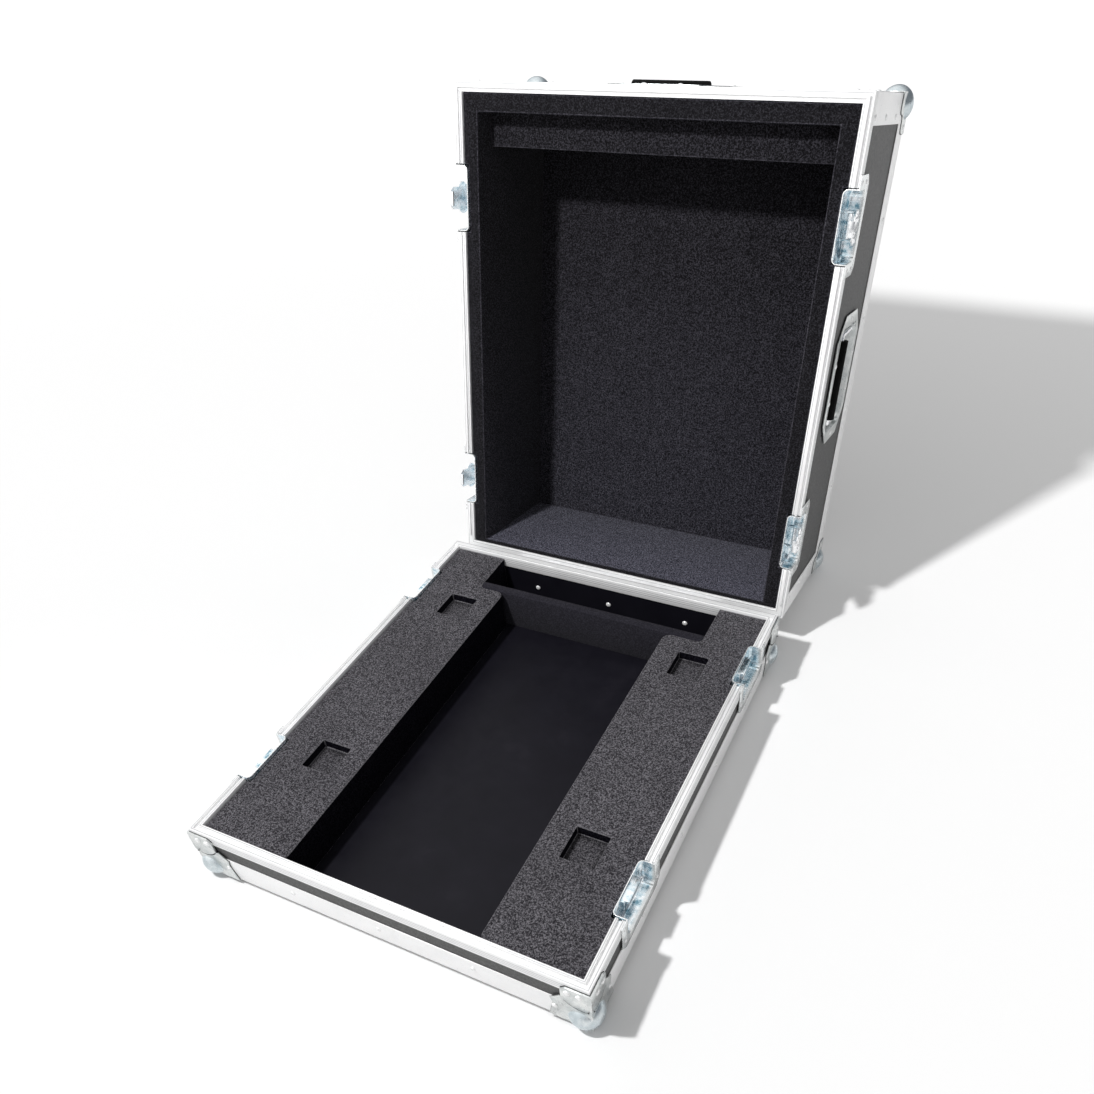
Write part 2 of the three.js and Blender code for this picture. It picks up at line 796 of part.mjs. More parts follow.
function lidLining(latchYs) {
  const inset = rimWidth + foamInset;
  const shape = rectangle(inset, caseWidth - inset, inset, caseLength - inset);
  const side = inset + liningThickness;
  shape.holes.push(rectangle(side, caseWidth - side, inset + liningRearThickness, caseLength - side));
  const body = slab(shape, -lidPanelTop + fitGap, -liningBelowRim);
  return cut(body, ...latchNotches(latchYs), ...handleNotches());
}

function lidPadSolid() {
  const inset = rimWidth + foamInset;
  const side = inset + liningThickness + fitGap;
  const near = inset + liningRearThickness + fitGap;
  const bottom = -lidPanelTop + fitGap;
  return block(side, caseWidth - side, near, caseLength - side, bottom, bottom + lidPadThickness);
}

function lidLedgeSolid() {
  const side = rimWidth + foamInset + liningThickness + fitGap;
  const far = caseLength - side;
  const bottom = -lidPanelTop + fitGap + lidPadThickness + fitGap;
  return block(side, caseWidth - side, far - ledgeWidth, far, bottom, -ledgeFromRim);
}

// Holes in the lid walls for the handle dishes
function handleHole(wall) {
  const along = handlePanHalfLength + fitGap;
  const z0 = -(handleFromRim + handlePanHalfHeight + fitGap);
  const z1 = -(handleFromRim - handlePanHalfHeight - fitGap);
  const middle = caseWidth * halfShare;
  if (wall === 'end') {
    return block(middle - along, middle + along, caseLength - panelEdge, caseLength, z0, z1);
  }
  return block(-overrun, caseWidth + overrun, handleFromHinge - along, handleFromHinge + along, z0, z1);
}

// Sets a group on a wall of a half, at a distance along the wall and below the rim
function onWall(wall, along, below) {
  const group = new THREE.Group();
  const down = zAxis.clone().negate();
  const places = {
    left: [yAxis, xAxis.clone().negate(), [0, along, -below]],
    right: [yAxis.clone().negate(), xAxis, [caseWidth, along, -below]],
    end: [xAxis, yAxis, [along, caseLength, -below]],
  };
  const [across, out, place] = places[wall];
  group.applyMatrix4(new THREE.Matrix4().makeBasis(across, down, out));
  group.position.set(...place);
  return group;
}

// The four ball corners of a half
function corners(prefix, names, depth, withBrace) {
  const body = cornerSolid(withBrace);
  const places = [[0, 0], [caseWidth, 0], [caseWidth, caseLength], [0, caseLength]];
  return places.map(([x, y], turn) => {
    const corner = mesh(`${prefix}_ball_corner_${names[turn]}`, body, zinc);
    corner.rotation.z = radians(quarterTurn * turn);
    corner.position.set(x, y, -depth);
    return corner;
  });
}

// The base tray
function buildBase() {
  const base = new THREE.Group();
  const latchYs = latchPlaces(true);
  const web = baseRimWeb;
  for (const side of ['left', 'right']) {
    base.add(mesh(`base_${side}_wall`, sideWallSolid(side, baseDepth, web, latchYs, []), laminate));
  }
  base.add(mesh('base_front_wall', endWallSolid('near', baseDepth, web, []), laminate));
  base.add(mesh('base_rear_wall', endWallSolid('far', baseDepth, web, []), laminate));
  base.add(mesh('base_floor_panel', panelSolid(baseDepth), laminate));

  const rims = rimPieces(cut(rimRing(web), grooveSolid(true)), latchYs);
  const rimNames = { near: 'front', far: 'rear', left: 'left', right: 'right' };
  for (const [place, body] of Object.entries(rims)) {
    base.add(mesh(`base_rim_${rimNames[place]}`, body, aluminium));
  }
  base.add(mesh('base_bottom_angle', edgeAngleSolid(baseDepth), aluminium));
  const names = ['front_left', 'front_right', 'rear_right', 'rear_left'];
  base.add(...corners('base', names, baseDepth, true));

  for (const side of ['left', 'right']) {
    for (const end of ['front', 'rear']) {
      base.add(mesh(`base_foam_${side}_${end}`, sideFoamSolid(side, end, latchYs), baseFoam));
    }
  }
  base.add(mesh('base_foam_partition', baseFoamPartition(), baseFoam));

  for (const side of ['left', 'right']) {
    latchYs.forEach((y, index) => {
      const spot = onWall(side, y, 0);
      const end = index === 0 ? 'rear' : 'front';
      spot.add(mesh(`keeper_dish_${side}_${end}`, latchKeeperDish(), blueZinc));
      base.add(spot);
    });
  }
  const leaf = mesh('hinge_leaf', hingeLeafSolid(true, hingeLeafBottom - hingeDrop, 0), steel);
  leaf.position.set(hingeMiddle, caseLength + hingeOffset, -hingeDrop);
  base.add(leaf);
  return base;
}

// A latch hook with its wing, resting released, tilted out on its pin
function buildHook(name) {
  const hook = new THREE.Group();
  hook.position.set(0, hookAxisHeight, -hookAxisDepth);
  hook.rotation.x = -radians(hookReleaseAngle);
  hook.add(mesh(`latch_hook_${name}`, hookSolid(), blueZinc));
  const wing = mesh(`latch_wing_${name}`, wingSolid(), steel);
  const outer = hookAxisDepth - hookPlane + hookPlate + runningGap;
  wing.position.set(0, wingAxisHeight - hookAxisHeight, outer);
  hook.add(wing);
  return hook;
}

// The lid, drawn as a tray whose near end is hinged
function buildLid() {
  const lid = new THREE.Group();
  const latchYs = latchPlaces(false);
  const web = lidRimWeb;
  const sideHole = handleHole('side');
  for (const side of ['left', 'right']) {
    lid.add(mesh(`lid_${side}_wall`, sideWallSolid(side, lidDepth, web, latchYs, [sideHole]), laminate));
  }
  lid.add(mesh('lid_rear_wall', endWallSolid('near', lidDepth, web, []), laminate));
  lid.add(mesh('lid_front_wall', endWallSolid('far', lidDepth, web, [handleHole('end')]), laminate));
  lid.add(mesh('lid_top_panel', panelSolid(lidDepth), laminate));

  const rims = rimPieces(join(rimRing(web), tongueSolid()), latchYs);
  const rimNames = { near: 'rear', far: 'front', left: 'left', right: 'right' };
  for (const [place, body] of Object.entries(rims)) {
    lid.add(mesh(`lid_rim_${rimNames[place]}`, body, aluminium));
  }
  lid.add(mesh('lid_edge_frame', join(edgeAngleSolid(lidDepth), cornerAngles()), aluminium));
  const names = ['rear_left', 'rear_right', 'front_right', 'front_left'];
  lid.add(...corners('lid', names, lidDepth, false));

  lid.add(mesh('lid_foam_lining', lidLining(latchYs), lidFoam));
  lid.add(mesh('lid_foam_pad', lidPadSolid(), lidFoam));
  lid.add(mesh('lid_foam_ledge', lidLedgeSolid(), lidFoam));

  for (const side of ['left', 'right']) {
    latchYs.forEach((y, index) => {
      const name = `${side}_${index === 0 ? 'rear' : 'front'}`;
      const spot = onWall(side, y, 0);
      spot.add(mesh(`latch_dish_${name}`, latchLidDish(), blueZinc), buildHook(name));
      lid.add(spot);
    });
  }
  const handles = [['left', handleFromHinge], ['right', handleFromHinge], ['end', caseWidth * halfShare]];
  for (const [wall, along] of handles) {
    const name = wall === 'end' ? 'front' : wall;
    const spot = onWall(wall, along, handleFromRim);
    const grip = mesh(`handle_grip_${name}`, gripSolid(), rubber);
    grip.position.set(0, bailHingeHeight, -gripDepth);
    spot.add(mesh(`handle_dish_${name}`, handleDish(), zinc), grip);
    lid.add(spot);
  }
  return lid;
}

// The case, with the lid swung back on its pins
const flightCase = new THREE.Group();
flightCase.name = 'mixer_flight_case';
flightCase.add(buildBase());

const swing = new THREE.Group();
swing.position.set(0, caseLength + hingeOffset, -hingeDrop);
swing.rotation.x = -openAngle;
const lid = buildLid();
lid.rotation.x = radians(halfTurn);
lid.position.set(0, -hingeOffset, seamGap + hingeDrop);
swing.add(lid);
const strap = mesh('hinge_strap', hingeLeafSolid(false, hingeDrop + hingeStrapTop, 1), steel);
strap.rotation.y = radians(halfTurn);
strap.position.x = hingeMiddle;
swing.add(strap);
flightCase.add(swing);

// The reference point is the middle of the ground that the whole open case covers
flightCase.updateMatrixWorld(true);
const extent = new THREE.Box3().setFromObject(flightCase, true);
const centre = extent.getCenter(new THREE.Vector3());
flightCase.position.set(-centre.x, -centre.y, -extent.min.z);
flightCase.updateMatrixWorld(true);

export default flightCase;
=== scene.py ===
# %% [markdown]
# A flight case for a mixing desk stands open: a shallow base tray, a deep lid leaning
# back on its two rear ball corners, bright edge metal, blue-zinc latches and dark foam.
# The solids of the case come in first, as a fixed frame. Every later piece is placed by
# two corners that are read from that frame, one on the base rim and one on the lid rim,
# so nothing here has to be fitted by eye.

import json
import math
from itertools import product

import bmesh
import bpy
from mathutils import Matrix, Vector
from mathutils.bvhtree import BVHTree


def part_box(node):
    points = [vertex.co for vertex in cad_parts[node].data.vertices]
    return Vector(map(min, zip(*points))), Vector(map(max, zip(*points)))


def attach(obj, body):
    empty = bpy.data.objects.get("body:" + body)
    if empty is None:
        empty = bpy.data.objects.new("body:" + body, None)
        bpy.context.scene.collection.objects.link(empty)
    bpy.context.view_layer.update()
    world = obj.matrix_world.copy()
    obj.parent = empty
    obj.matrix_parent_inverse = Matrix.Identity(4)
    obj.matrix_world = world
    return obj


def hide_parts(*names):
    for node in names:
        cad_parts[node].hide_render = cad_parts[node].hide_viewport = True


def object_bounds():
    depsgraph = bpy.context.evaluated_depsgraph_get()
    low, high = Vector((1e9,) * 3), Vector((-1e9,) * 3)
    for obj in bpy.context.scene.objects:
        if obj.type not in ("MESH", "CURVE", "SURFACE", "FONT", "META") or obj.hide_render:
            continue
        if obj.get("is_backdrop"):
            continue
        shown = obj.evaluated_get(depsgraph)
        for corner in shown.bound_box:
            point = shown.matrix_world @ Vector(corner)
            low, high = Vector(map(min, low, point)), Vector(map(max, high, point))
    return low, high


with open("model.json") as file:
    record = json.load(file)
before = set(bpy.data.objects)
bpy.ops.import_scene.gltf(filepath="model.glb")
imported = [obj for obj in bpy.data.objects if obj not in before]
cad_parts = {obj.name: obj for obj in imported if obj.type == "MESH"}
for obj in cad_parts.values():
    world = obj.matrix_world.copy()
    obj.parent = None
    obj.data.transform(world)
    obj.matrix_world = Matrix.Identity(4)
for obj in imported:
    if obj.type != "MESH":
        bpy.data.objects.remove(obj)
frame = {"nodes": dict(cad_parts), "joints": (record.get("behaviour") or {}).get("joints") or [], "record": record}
solid_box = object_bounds()
MM = 0.001
NODES, BODIES = frame["nodes"], frame["record"]["behaviour"]["bodies"]
LEFT, RIGHT = Vector((-1, 0, 0)), Vector((1, 0, 0))
FRONT, BACK = Vector((0, -1, 0)), Vector((0, 1, 0))
UPRIGHT = Vector((0, 0, 1))

front_rim_low, front_rim_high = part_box("base_rim_front")
RIM = Vector((front_rim_low.x, front_rim_low.y, front_rim_high.z))
CASE_WIDTH, CASE_LENGTH, BASE_DEPTH, LID_DEPTH = 560, 672, 80, 234
SEAM = 0.3

swing = next(joint for joint in frame["joints"] if joint["name"] == "lid_swing")
OPEN_ANGLE = math.radians(swing["range_deg"][1])
PIN = Vector((RIM.x, swing["pos_m"][1], swing["pos_m"][2]))


def in_base(x, y, z):
    """A point of the base, in millimetres from the front left corner of its rim."""
    return RIM + Vector((x, y, z)) * MM


LID_ALONG = Vector((0, math.sin(OPEN_ANGLE - math.pi / 2), math.cos(OPEN_ANGLE - math.pi / 2)))
LID_INTO = Vector((0, LID_ALONG.z, -LID_ALONG.y))
closed_corner = in_base(0, CASE_LENGTH, SEAM) - PIN
LID = PIN + Matrix.Rotation(-OPEN_ANGLE, 3, "X") @ closed_corner


def in_lid(x, along, into):
    """A point of the lid, in millimetres: from the left, up from the hinge, in from the rim."""
    return LID + Vector((x * MM, 0, 0)) + (LID_ALONG * along + LID_INTO * into) * MM


def rounded(values, digits=4):
    return tuple(round(value, digits) for value in values)


print("base rim corner", rounded(RIM))
print("lid rim corner", rounded(LID), "opened", round(math.degrees(OPEN_ANGLE), 2))

# %% [markdown]
# The photographer stood in front of the right corner and looked down into the case. A
# real lens with a small shift gives the same frame: the shift keeps the view centred
# without turning the camera, so the upright lid keeps its true outline. The three rows
# below are the camera's right, down and forward directions.

# %% Camera
VIEW_RIGHT = Vector((0.8956435, 0.4387878, -0.0727184))
VIEW_DOWN = Vector((0.2669004, -0.6610146, -0.7013015))
VIEW_FORWARD = Vector((-0.3557904, 0.6087076, -0.7091461))
CAMERA_SPOT = (800.185, -414.019, 893.711)
FOCAL_PIXELS, IMAGE_PIXELS, SENSOR_WIDTH = 924.6514, 1094, 36
CENTRE_X, CENTRE_Y = 559.394, 718.4543

camera_data = bpy.data.cameras.new("photo_camera")
camera_data.sensor_width = SENSOR_WIDTH
camera_data.lens = FOCAL_PIXELS / IMAGE_PIXELS * SENSOR_WIDTH
camera_data.shift_x = (IMAGE_PIXELS / 2 - CENTRE_X) / IMAGE_PIXELS
camera_data.shift_y = (CENTRE_Y - IMAGE_PIXELS / 2) / IMAGE_PIXELS
camera_data.clip_start = 0.01
camera = bpy.data.objects.new("photo_camera", camera_data)
bpy.context.scene.collection.objects.link(camera)
turn = Matrix((VIEW_RIGHT, -VIEW_DOWN, -VIEW_FORWARD)).transposed().to_4x4()
camera.matrix_world = Matrix.Translation(in_base(*CAMERA_SPOT)) @ turn
bpy.context.scene.camera = camera
print("lens", round(camera_data.lens, 2), "mm, standing at", rounded(camera.location, 3))

# %% [markdown]
# Light and finishes are small networks of nodes. The helpers here add one node each: a
# step of arithmetic, a measure along a direction, a ramp that turns a number into a colour.


# %% Node helpers
class Nodes:
    """A tree of nodes. A value is a plain one, or the output of another node."""

    def __init__(self, tree):
        self.tree = tree

    def node(self, kind, **settings):
        made = self.tree.nodes.new(kind)
        for key, value in settings.items():
            setattr(made, key, value)
        return made

    def feed(self, socket, value):
        if isinstance(value, bpy.types.NodeSocket):
            self.tree.links.new(value, socket)
        else:
            socket.default_value = value

    def sum(self, operation, *values):
        """One step of arithmetic."""
        step = self.node("ShaderNodeMath", operation=operation)
        for socket, value in zip(step.inputs, values):
            self.feed(socket, value)
        return step.outputs[0]

    def measure(self, place, way, operation="DOT_PRODUCT"):
        """How far a place lies along a way, in metres."""
        step = self.node("ShaderNodeVectorMath", operation=operation)
        self.feed(step.inputs[0], place)
        self.feed(step.inputs[1], way)
        return step.outputs["Value"]

    def scaled(self, value, start, end, low=0.0, high=1.0):
        """The numbers from start to end turned into those from low to high."""
        step = self.node("ShaderNodeMapRange")
        for key, number in (("Value", value), ("From Min", start), ("From Max", end),
                            ("To Min", low), ("To Max", high)):
            self.feed(step.inputs[key], number)
        return step.outputs["Result"]

    def ramp(self, value, stops, colours):
        ramp = self.node("ShaderNodeValToRGB")
        first, last = ramp.color_ramp.elements
        first.position, first.color = stops[0], (*colours[0], 1)
        last.position, last.color = stops[-1], (*colours[-1], 1)
        for stop, colour in zip(stops[1:-1], colours[1:-1]):
            ramp.color_ramp.elements.new(stop).color = (*colour, 1)
        self.feed(ramp.inputs["Fac"], value)
        return ramp.outputs["Color"]

    def grey(self, value, low, high, start=0.3, end=0.7):
        return self.ramp(value, (start, end), ((low,) * 3, (high,) * 3))


# %% [markdown]
# A finish adds noise in the object's own millimetres, so grain has a true size on every
# piece, and a bump that turns a pattern into a surface you can feel.


# %% Finish helpers
class Finish(Nodes):
    """A material under construction, with one Principled shader. Sizes are in millimetres."""

    def __init__(self, name, colour, roughness, metallic=0.0):
        self.material = bpy.data.materials.new(name)
        self.material.use_nodes = True
        super().__init__(self.material.node_tree)
        self.shader = self.tree.nodes["Principled BSDF"]
        self.colour((*colour, 1))
        self.roughness(roughness)
        self.feed(self.shader.inputs["Metallic"], metallic)
        self.place = self.node("ShaderNodeTexCoord").outputs["Object"]

    def colour(self, value):
        self.feed(self.shader.inputs["Base Color"], value)

    def painted(self):
        """What the colour is fed from so far."""
        return self.shader.inputs["Base Color"].links[0].from_socket

    def roughness(self, value):
        self.feed(self.shader.inputs["Roughness"], value)

    def shine(self, value):
        self.feed(self.shader.inputs["Specular IOR Level"], value)

    def stretched(self, x, y, z):
        mapping = self.node("ShaderNodeMapping")
        self.feed(mapping.inputs["Scale"], (x, y, z))
        self.feed(mapping.inputs["Vector"], self.place)
        return mapping.outputs["Vector"]

    def noise(self, size, detail=3.0, rough=0.55, place=None):
        texture = self.node("ShaderNodeTexNoise")
        for key, value in (("Scale", 1 / (size * MM)), ("Detail", detail), ("Roughness", rough),
                           ("Vector", place or self.place)):
            self.feed(texture.inputs[key], value)
        return texture.outputs["Fac"]

    def cells(self, size):
        texture = self.node("ShaderNodeTexVoronoi")
        self.feed(texture.inputs["Scale"], 1 / (size * MM))
        self.feed(texture.inputs["Vector"], self.place)
        return texture.outputs["Distance"]

    def mixed(self, share, first, second):
        mix = self.node("ShaderNodeMix", data_type="RGBA")
        for key, value in (("Factor", share), ("A", first), ("B", second)):
            self.feed(mix.inputs[key], value)
        return mix.outputs["Result"]

    def distance(self, way, start):
        """How far a point lies along a way, counted from a start."""
        return self.sum("MULTIPLY", self.sum("SUBTRACT", self.measure(self.place, way),
                                             start.dot(way)), 1 / MM)

    def inside(self, way, middle, half):
        """How far a point lies inside the edges of a band round a middle."""
        return self.sum("SUBTRACT", half, self.sum("ABSOLUTE", self.distance(way, middle)))

    def bump(self, pattern, height, strength=1.0):
        """One more bump, laid over those made before."""
        bump, normal = self.node("ShaderNodeBump"), self.shader.inputs["Normal"]
        for key, value in (("Distance", height * MM), ("Strength", strength), ("Height", pattern)):
            self.feed(bump.inputs[key], value)
        if normal.is_linked:
            self.feed(bump.inputs["Normal"], normal.links[0].from_socket)
        self.feed(normal, bump.outputs["Normal"])


print("helpers for nodes and finishes ready")

# %% [markdown]
# The shadow in the photograph grows wider up the lid than along the low base, so the lamp
# was near: its place is worked out from where the rim and the lid throw their edges. A
# bare lamp would leave the far floor grey. A studio lamp has a reflector that throws more
# light sideways than down, so that the floor is lit nearly alike all over, and the small
# sums in this lamp's nodes do the same: no loss with distance, and a gain as it flattens.

# %% Lamp
LAMP_SPOT = (-167, -289, 1446)
LAMP_LIGHT, LAMP_SIZE, FILL_LIGHT = 0.66, 0.05, 0.42
FLATTEST_SLOPE, SPREAD = 0.2, 0.5

lamp_data = bpy.data.lights.new("studio_lamp", "POINT")
lamp_data.shadow_soft_size = LAMP_SIZE
lamp_data.energy = LAMP_LIGHT * 4 * math.pi * math.pi
lamp_data.use_nodes = True
beams = Nodes(lamp_data.node_tree)
falloff = beams.node("ShaderNodeLightFalloff")
beams.feed(falloff.inputs["Strength"], 1.0)
beam = beams.node("ShaderNodeTexCoord").outputs["Normal"]
slope = beams.sum("MAXIMUM", beams.sum("ABSOLUTE", beams.measure(beam, UPRIGHT)), FLATTEST_SLOPE)
gain = beams.sum("DIVIDE", falloff.outputs["Constant"], beams.sum("POWER", slope, SPREAD))
beams.feed(lamp_data.node_tree.nodes["Emission"].inputs["Strength"], gain)
lamp = bpy.data.objects.new("studio_lamp", lamp_data)
lamp.location = in_base(*LAMP_SPOT)
bpy.context.scene.collection.objects.link(lamp)
print("lamp at", tuple(round(v, 2) for v in lamp.location), "light", LAMP_LIGHT)

# %% [markdown]
# The room fills the shadows with soft light. It shows white to the camera, and to polished
# metal mostly white too, dim low on the right, with one dark patch overhead. Without that
# patch a zinc ball in a white room would be a white disc: its small dark reflection is
# what makes the ball look round.

# %% White room
WHITE, BRIGHT_WAY, BRIGHT_STOPS = (1, 1, 1, 1), (-0.55, -0.25, 0.80), (0.05, 0.62)
DIM_SIDE, BRIGHT_SIDE = (0.16, 0.17, 0.19), (1.12, 1.12, 1.12)
PATCH_WAY, PATCH_EDGE, PATCH_CORE = (0.16, -0.42, 0.893), 0.955, 0.992
ROUND_PATCH, IN_PATCH = 1.1, 0.12

world = bpy.data.worlds.new("studio")
world.use_nodes = True
room = Nodes(world.node_tree)
room.tree.nodes.remove(room.tree.nodes["Background"])


def background(colour, strength):
    made = room.node("ShaderNodeBackground")
    room.feed(made.inputs["Color"], colour)
    room.feed(made.inputs["Strength"], strength)
    return made.outputs[0]


def for_rays(kind, others, these):
    """One background for rays of a kind, and another for all others."""
    mix = room.node("ShaderNodeMixShader")
    for socket, value in zip(mix.inputs, (rays.outputs[kind], others, these)):
        room.feed(socket, value)
    return mix.outputs[0]


rays = room.node("ShaderNodeLightPath")
direction = room.node("ShaderNodeTexCoord").outputs["Generated"]
tone = room.ramp(room.measure(direction, BRIGHT_WAY), BRIGHT_STOPS, (DIM_SIDE, BRIGHT_SIDE))
patch = room.scaled(room.measure(direction, PATCH_WAY), PATCH_EDGE, PATCH_CORE,
                    ROUND_PATCH, IN_PATCH)
lit = for_rays("Is Glossy Ray", background(WHITE, FILL_LIGHT), background(tone, patch))
surface = for_rays("Is Camera Ray", lit, background(WHITE, 1.0))
room.feed(room.tree.nodes["World Output"].inputs["Surface"], surface)
bpy.context.scene.world = world
bpy.context.scene.view_settings.view_transform = "Standard"
print("fill light", FILL_LIGHT)

# %% [markdown]
# The floor is one big white sheet. It takes on a little light of its own for the camera,
# more the further away it is, where the lamp falls too flat to keep it white, and near the
# case it stays almost a plain diffuse sheet, so the shadow keeps its tone.

# %% Floor
FLOOR_REACH, GLOW_FROM, GLOW_TO, GLOW = 30, 0.8, 8.0, 0.6
floor_mesh = bpy.data.meshes.new("studio_floor")
floor_mesh.from_pydata(
    [(-FLOOR_REACH, -FLOOR_REACH, 0), (FLOOR_REACH, -FLOOR_REACH, 0),
     (FLOOR_REACH, FLOOR_REACH, 0), (-FLOOR_REACH, FLOOR_REACH, 0)], [], [(0, 1, 2, 3)])
floor = bpy.data.objects.new("studio_floor", floor_mesh)
bpy.context.scene.collection.objects.link(floor)
floor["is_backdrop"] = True
white = Finish("white_floor", (0.96, 0.96, 0.96), 0.9)
white.shine(0.0)
white.feed(white.shader.inputs["Emission Color"], WHITE)
from_foot = white.measure(white.place, (lamp.location.x, lamp.location.y, 0), "DISTANCE")
glow = white.scaled(from_foot, GLOW_FROM, GLOW_TO, 0.0, GLOW)
ray = white.node("ShaderNodeLightPath")
seen = white.sum("MAXIMUM", ray.outputs["Is Camera Ray"], ray.outputs["Is Glossy Ray"])
white.feed(white.shader.inputs["Emission Strength"], white.sum("MULTIPLY", glow, seen))
floor_mesh.materials.append(white.material)
print("floor glows from", GLOW_FROM, "to", GLOW_TO, "metres from the lamp's foot")

# %% [markdown]
# The boards are birch ply faced with a hard dark laminate, pressed with a fine pebble so
# that scuffs don't show. Small round cells make the pebble, a slow noise makes the sheen
# wander, and the inside of the base is the same board left smoother and darker.

# %% Board finishes
laminate = Finish("grey_laminate", (0.075, 0.074, 0.073), 0.5)
pebble = laminate.noise(2.2, 3, 0.7)
laminate.colour(laminate.mixed(laminate.noise(45, 4), laminate.grey(pebble, 0.036, 0.088),
                               laminate.grey(pebble, 0.041, 0.094)))
laminate.roughness(laminate.grey(laminate.noise(3, 4), 0.50, 0.66))
laminate.bump(laminate.cells(1.5), 0.10, 0.55)

inner_board = Finish("black_inner_board", (0.02, 0.02, 0.026), 0.45)
inner_board.colour(inner_board.ramp(
    inner_board.noise(60, 5), (0.3, 0.62, 0.8),
    ((0.0060, 0.0056, 0.0088), (0.0082, 0.0077, 0.0118), (0.013, 0.012, 0.017))))
inner_board.shine(0.12)
inner_board.roughness(inner_board.grey(inner_board.noise(18, 6), 0.36, 0.52))
inner_board.bump(inner_board.noise(0.9, 3), 0.04, 0.4)
print("laminate and inner board ready")

# %% [markdown]
# The edge metal is drawn aluminium. The die leaves hair-fine lines and a few shallow
# grooves along every flange, handling leaves short scratches, and the anodised skin keeps
# it pale and only softly shiny. The grooves are set out on a ramp by their distance from
# the rim, so that they run true round all four sides and over both halves, and they hold
# painted shade: they are painted in darker tones than the metal between them.

# %% Aluminium
FLANGE_GROOVES, TOP_GROOVES = (5.5, 9, 12.5), (2.4, 10.2)
GROOVE_HALF, GROOVE_SPAN = 0.7, 40


def grooves_at(finish, distance, lines):
    """White between the grooves and black in them: the mask of the painted shade in the grooves."""
    stops, colours = [0.0], [(1, 1, 1)]
    for line in lines:
        for step, level in ((-GROOVE_HALF, 1), (0, 0), (GROOVE_HALF, 1)):
            stops.append((line + step) / GROOVE_SPAN)
            colours.append((level,) * 3)
    share = finish.sum("DIVIDE", distance, GROOVE_SPAN)
    return finish.ramp(share, stops + [1.0], colours + [(1, 1, 1)])


def aluminium_finish(name, corner, along, inward):
    metal = Finish(name, (0.90, 0.90, 0.905), 0.32, 0.15)
    wander = metal.noise(38, 6, 0.65)
    clean = metal.ramp(wander, (0.25, 0.5, 0.8),
                       ((0.91, 0.912, 0.916), (0.97, 0.97, 0.972), (0.985, 0.985, 0.985)))
    # Painted shade: these darker tones are painted into the grooves.
    wear_and_painted_groove_shade = metal.ramp(wander, (0.3, 0.7), ((0.36, 0.365, 0.38), (0.46, 0.46, 0.475)))
    middle = corner + (RIGHT * CASE_WIDTH + along * CASE_LENGTH) / 2 * MM
    to_edge = metal.sum("MINIMUM", metal.inside(RIGHT, middle, CASE_WIDTH / 2),
                        metal.inside(along, middle, CASE_LENGTH / 2))
    on_flange = grooves_at(metal, metal.distance(inward, corner), FLANGE_GROOVES)
    grooves = metal.sum("MINIMUM", on_flange, grooves_at(metal, to_edge, TOP_GROOVES))
    metal.colour(metal.mixed(grooves, wear_and_painted_groove_shade, clean))
    drawn_lines = metal.noise(1.0, 4, 0.6, metal.stretched(1.0, 0.12, 1.0))
    metal.roughness(metal.grey(drawn_lines, 0.26, 0.44))
    metal.bump(grooves, 0.35, 0.7)
    metal.bump(drawn_lines, 0.012, 0.5)
    metal.bump(metal.noise(6, 5, 0.7), 0.03, 0.35)
    return metal


INTO = {"base": Vector((0, 0, -1)), "lid": LID_INTO}
aluminium = {
    "base": aluminium_finish("base_aluminium", RIM, BACK, INTO["base"]),
    "lid": aluminium_finish("lid_aluminium", LID, LID_ALONG, INTO["lid"]),
}
print("grooves", FLANGE_GROOVES, "mm in from the rim and", TOP_GROOVES, "mm in from the edge")

# %% [markdown]
# Ball corners, braces and handle dishes are pressed steel with pale zinc. The latches have
# the bluish passivated kind, but only down in their pockets, where no hand has rubbed the
# thin film off: on the flange and along the cut edge of the sheet they are as pale as the
# rest. So the film is mixed in by how deep a point lies behind the wall's outer face.


# %% Zinc finishes
LATCH_FILM_DEPTH = 3.5
BLOOM, BLOOM_STOPS, FILM_STOPS = (14, 5, 0.6), (0.28, 0.5, 0.72), (0.34, 0.46, 0.62)


def zinc_skin(zinc, low, high):
    zinc.roughness(zinc.grey(zinc.noise(3.2, 5, 0.6), low, high))
    zinc.bump(zinc.cells(2.2), 0.012, 0.3)
    return zinc


def zinc_finish(name, colours, low, high, metallic=0.9):
    """Zinc in three tones, with a roughness that wanders from low to high."""
    zinc = Finish(name, colours[1], 0.3, metallic)
    zinc.colour(zinc.ramp(zinc.noise(*BLOOM), BLOOM_STOPS, colours))
    return zinc_skin(zinc, low, high)


def latch_finish(name, film_colours, bare_colours):
    """Blue film behind the wall's face, bare zinc in front of it."""
    latch = Finish(name, bare_colours[1], 0.25, 0.92)
    film = latch.ramp(latch.noise(9, 4, 0.6), FILM_STOPS, film_colours)
    bare = latch.ramp(latch.noise(*BLOOM), BLOOM_STOPS, bare_colours)
    sideways = latch.sum("ABSOLUTE", latch.measure(latch.place, RIGHT))
    wall_face, film_edge = CASE_WIDTH / 2 * MM, (CASE_WIDTH / 2 - LATCH_FILM_DEPTH) * MM
    latch.colour(latch.mixed(latch.scaled(sideways, film_edge, wall_face), film, bare))
    return zinc_skin(latch, 0.14, 0.32)


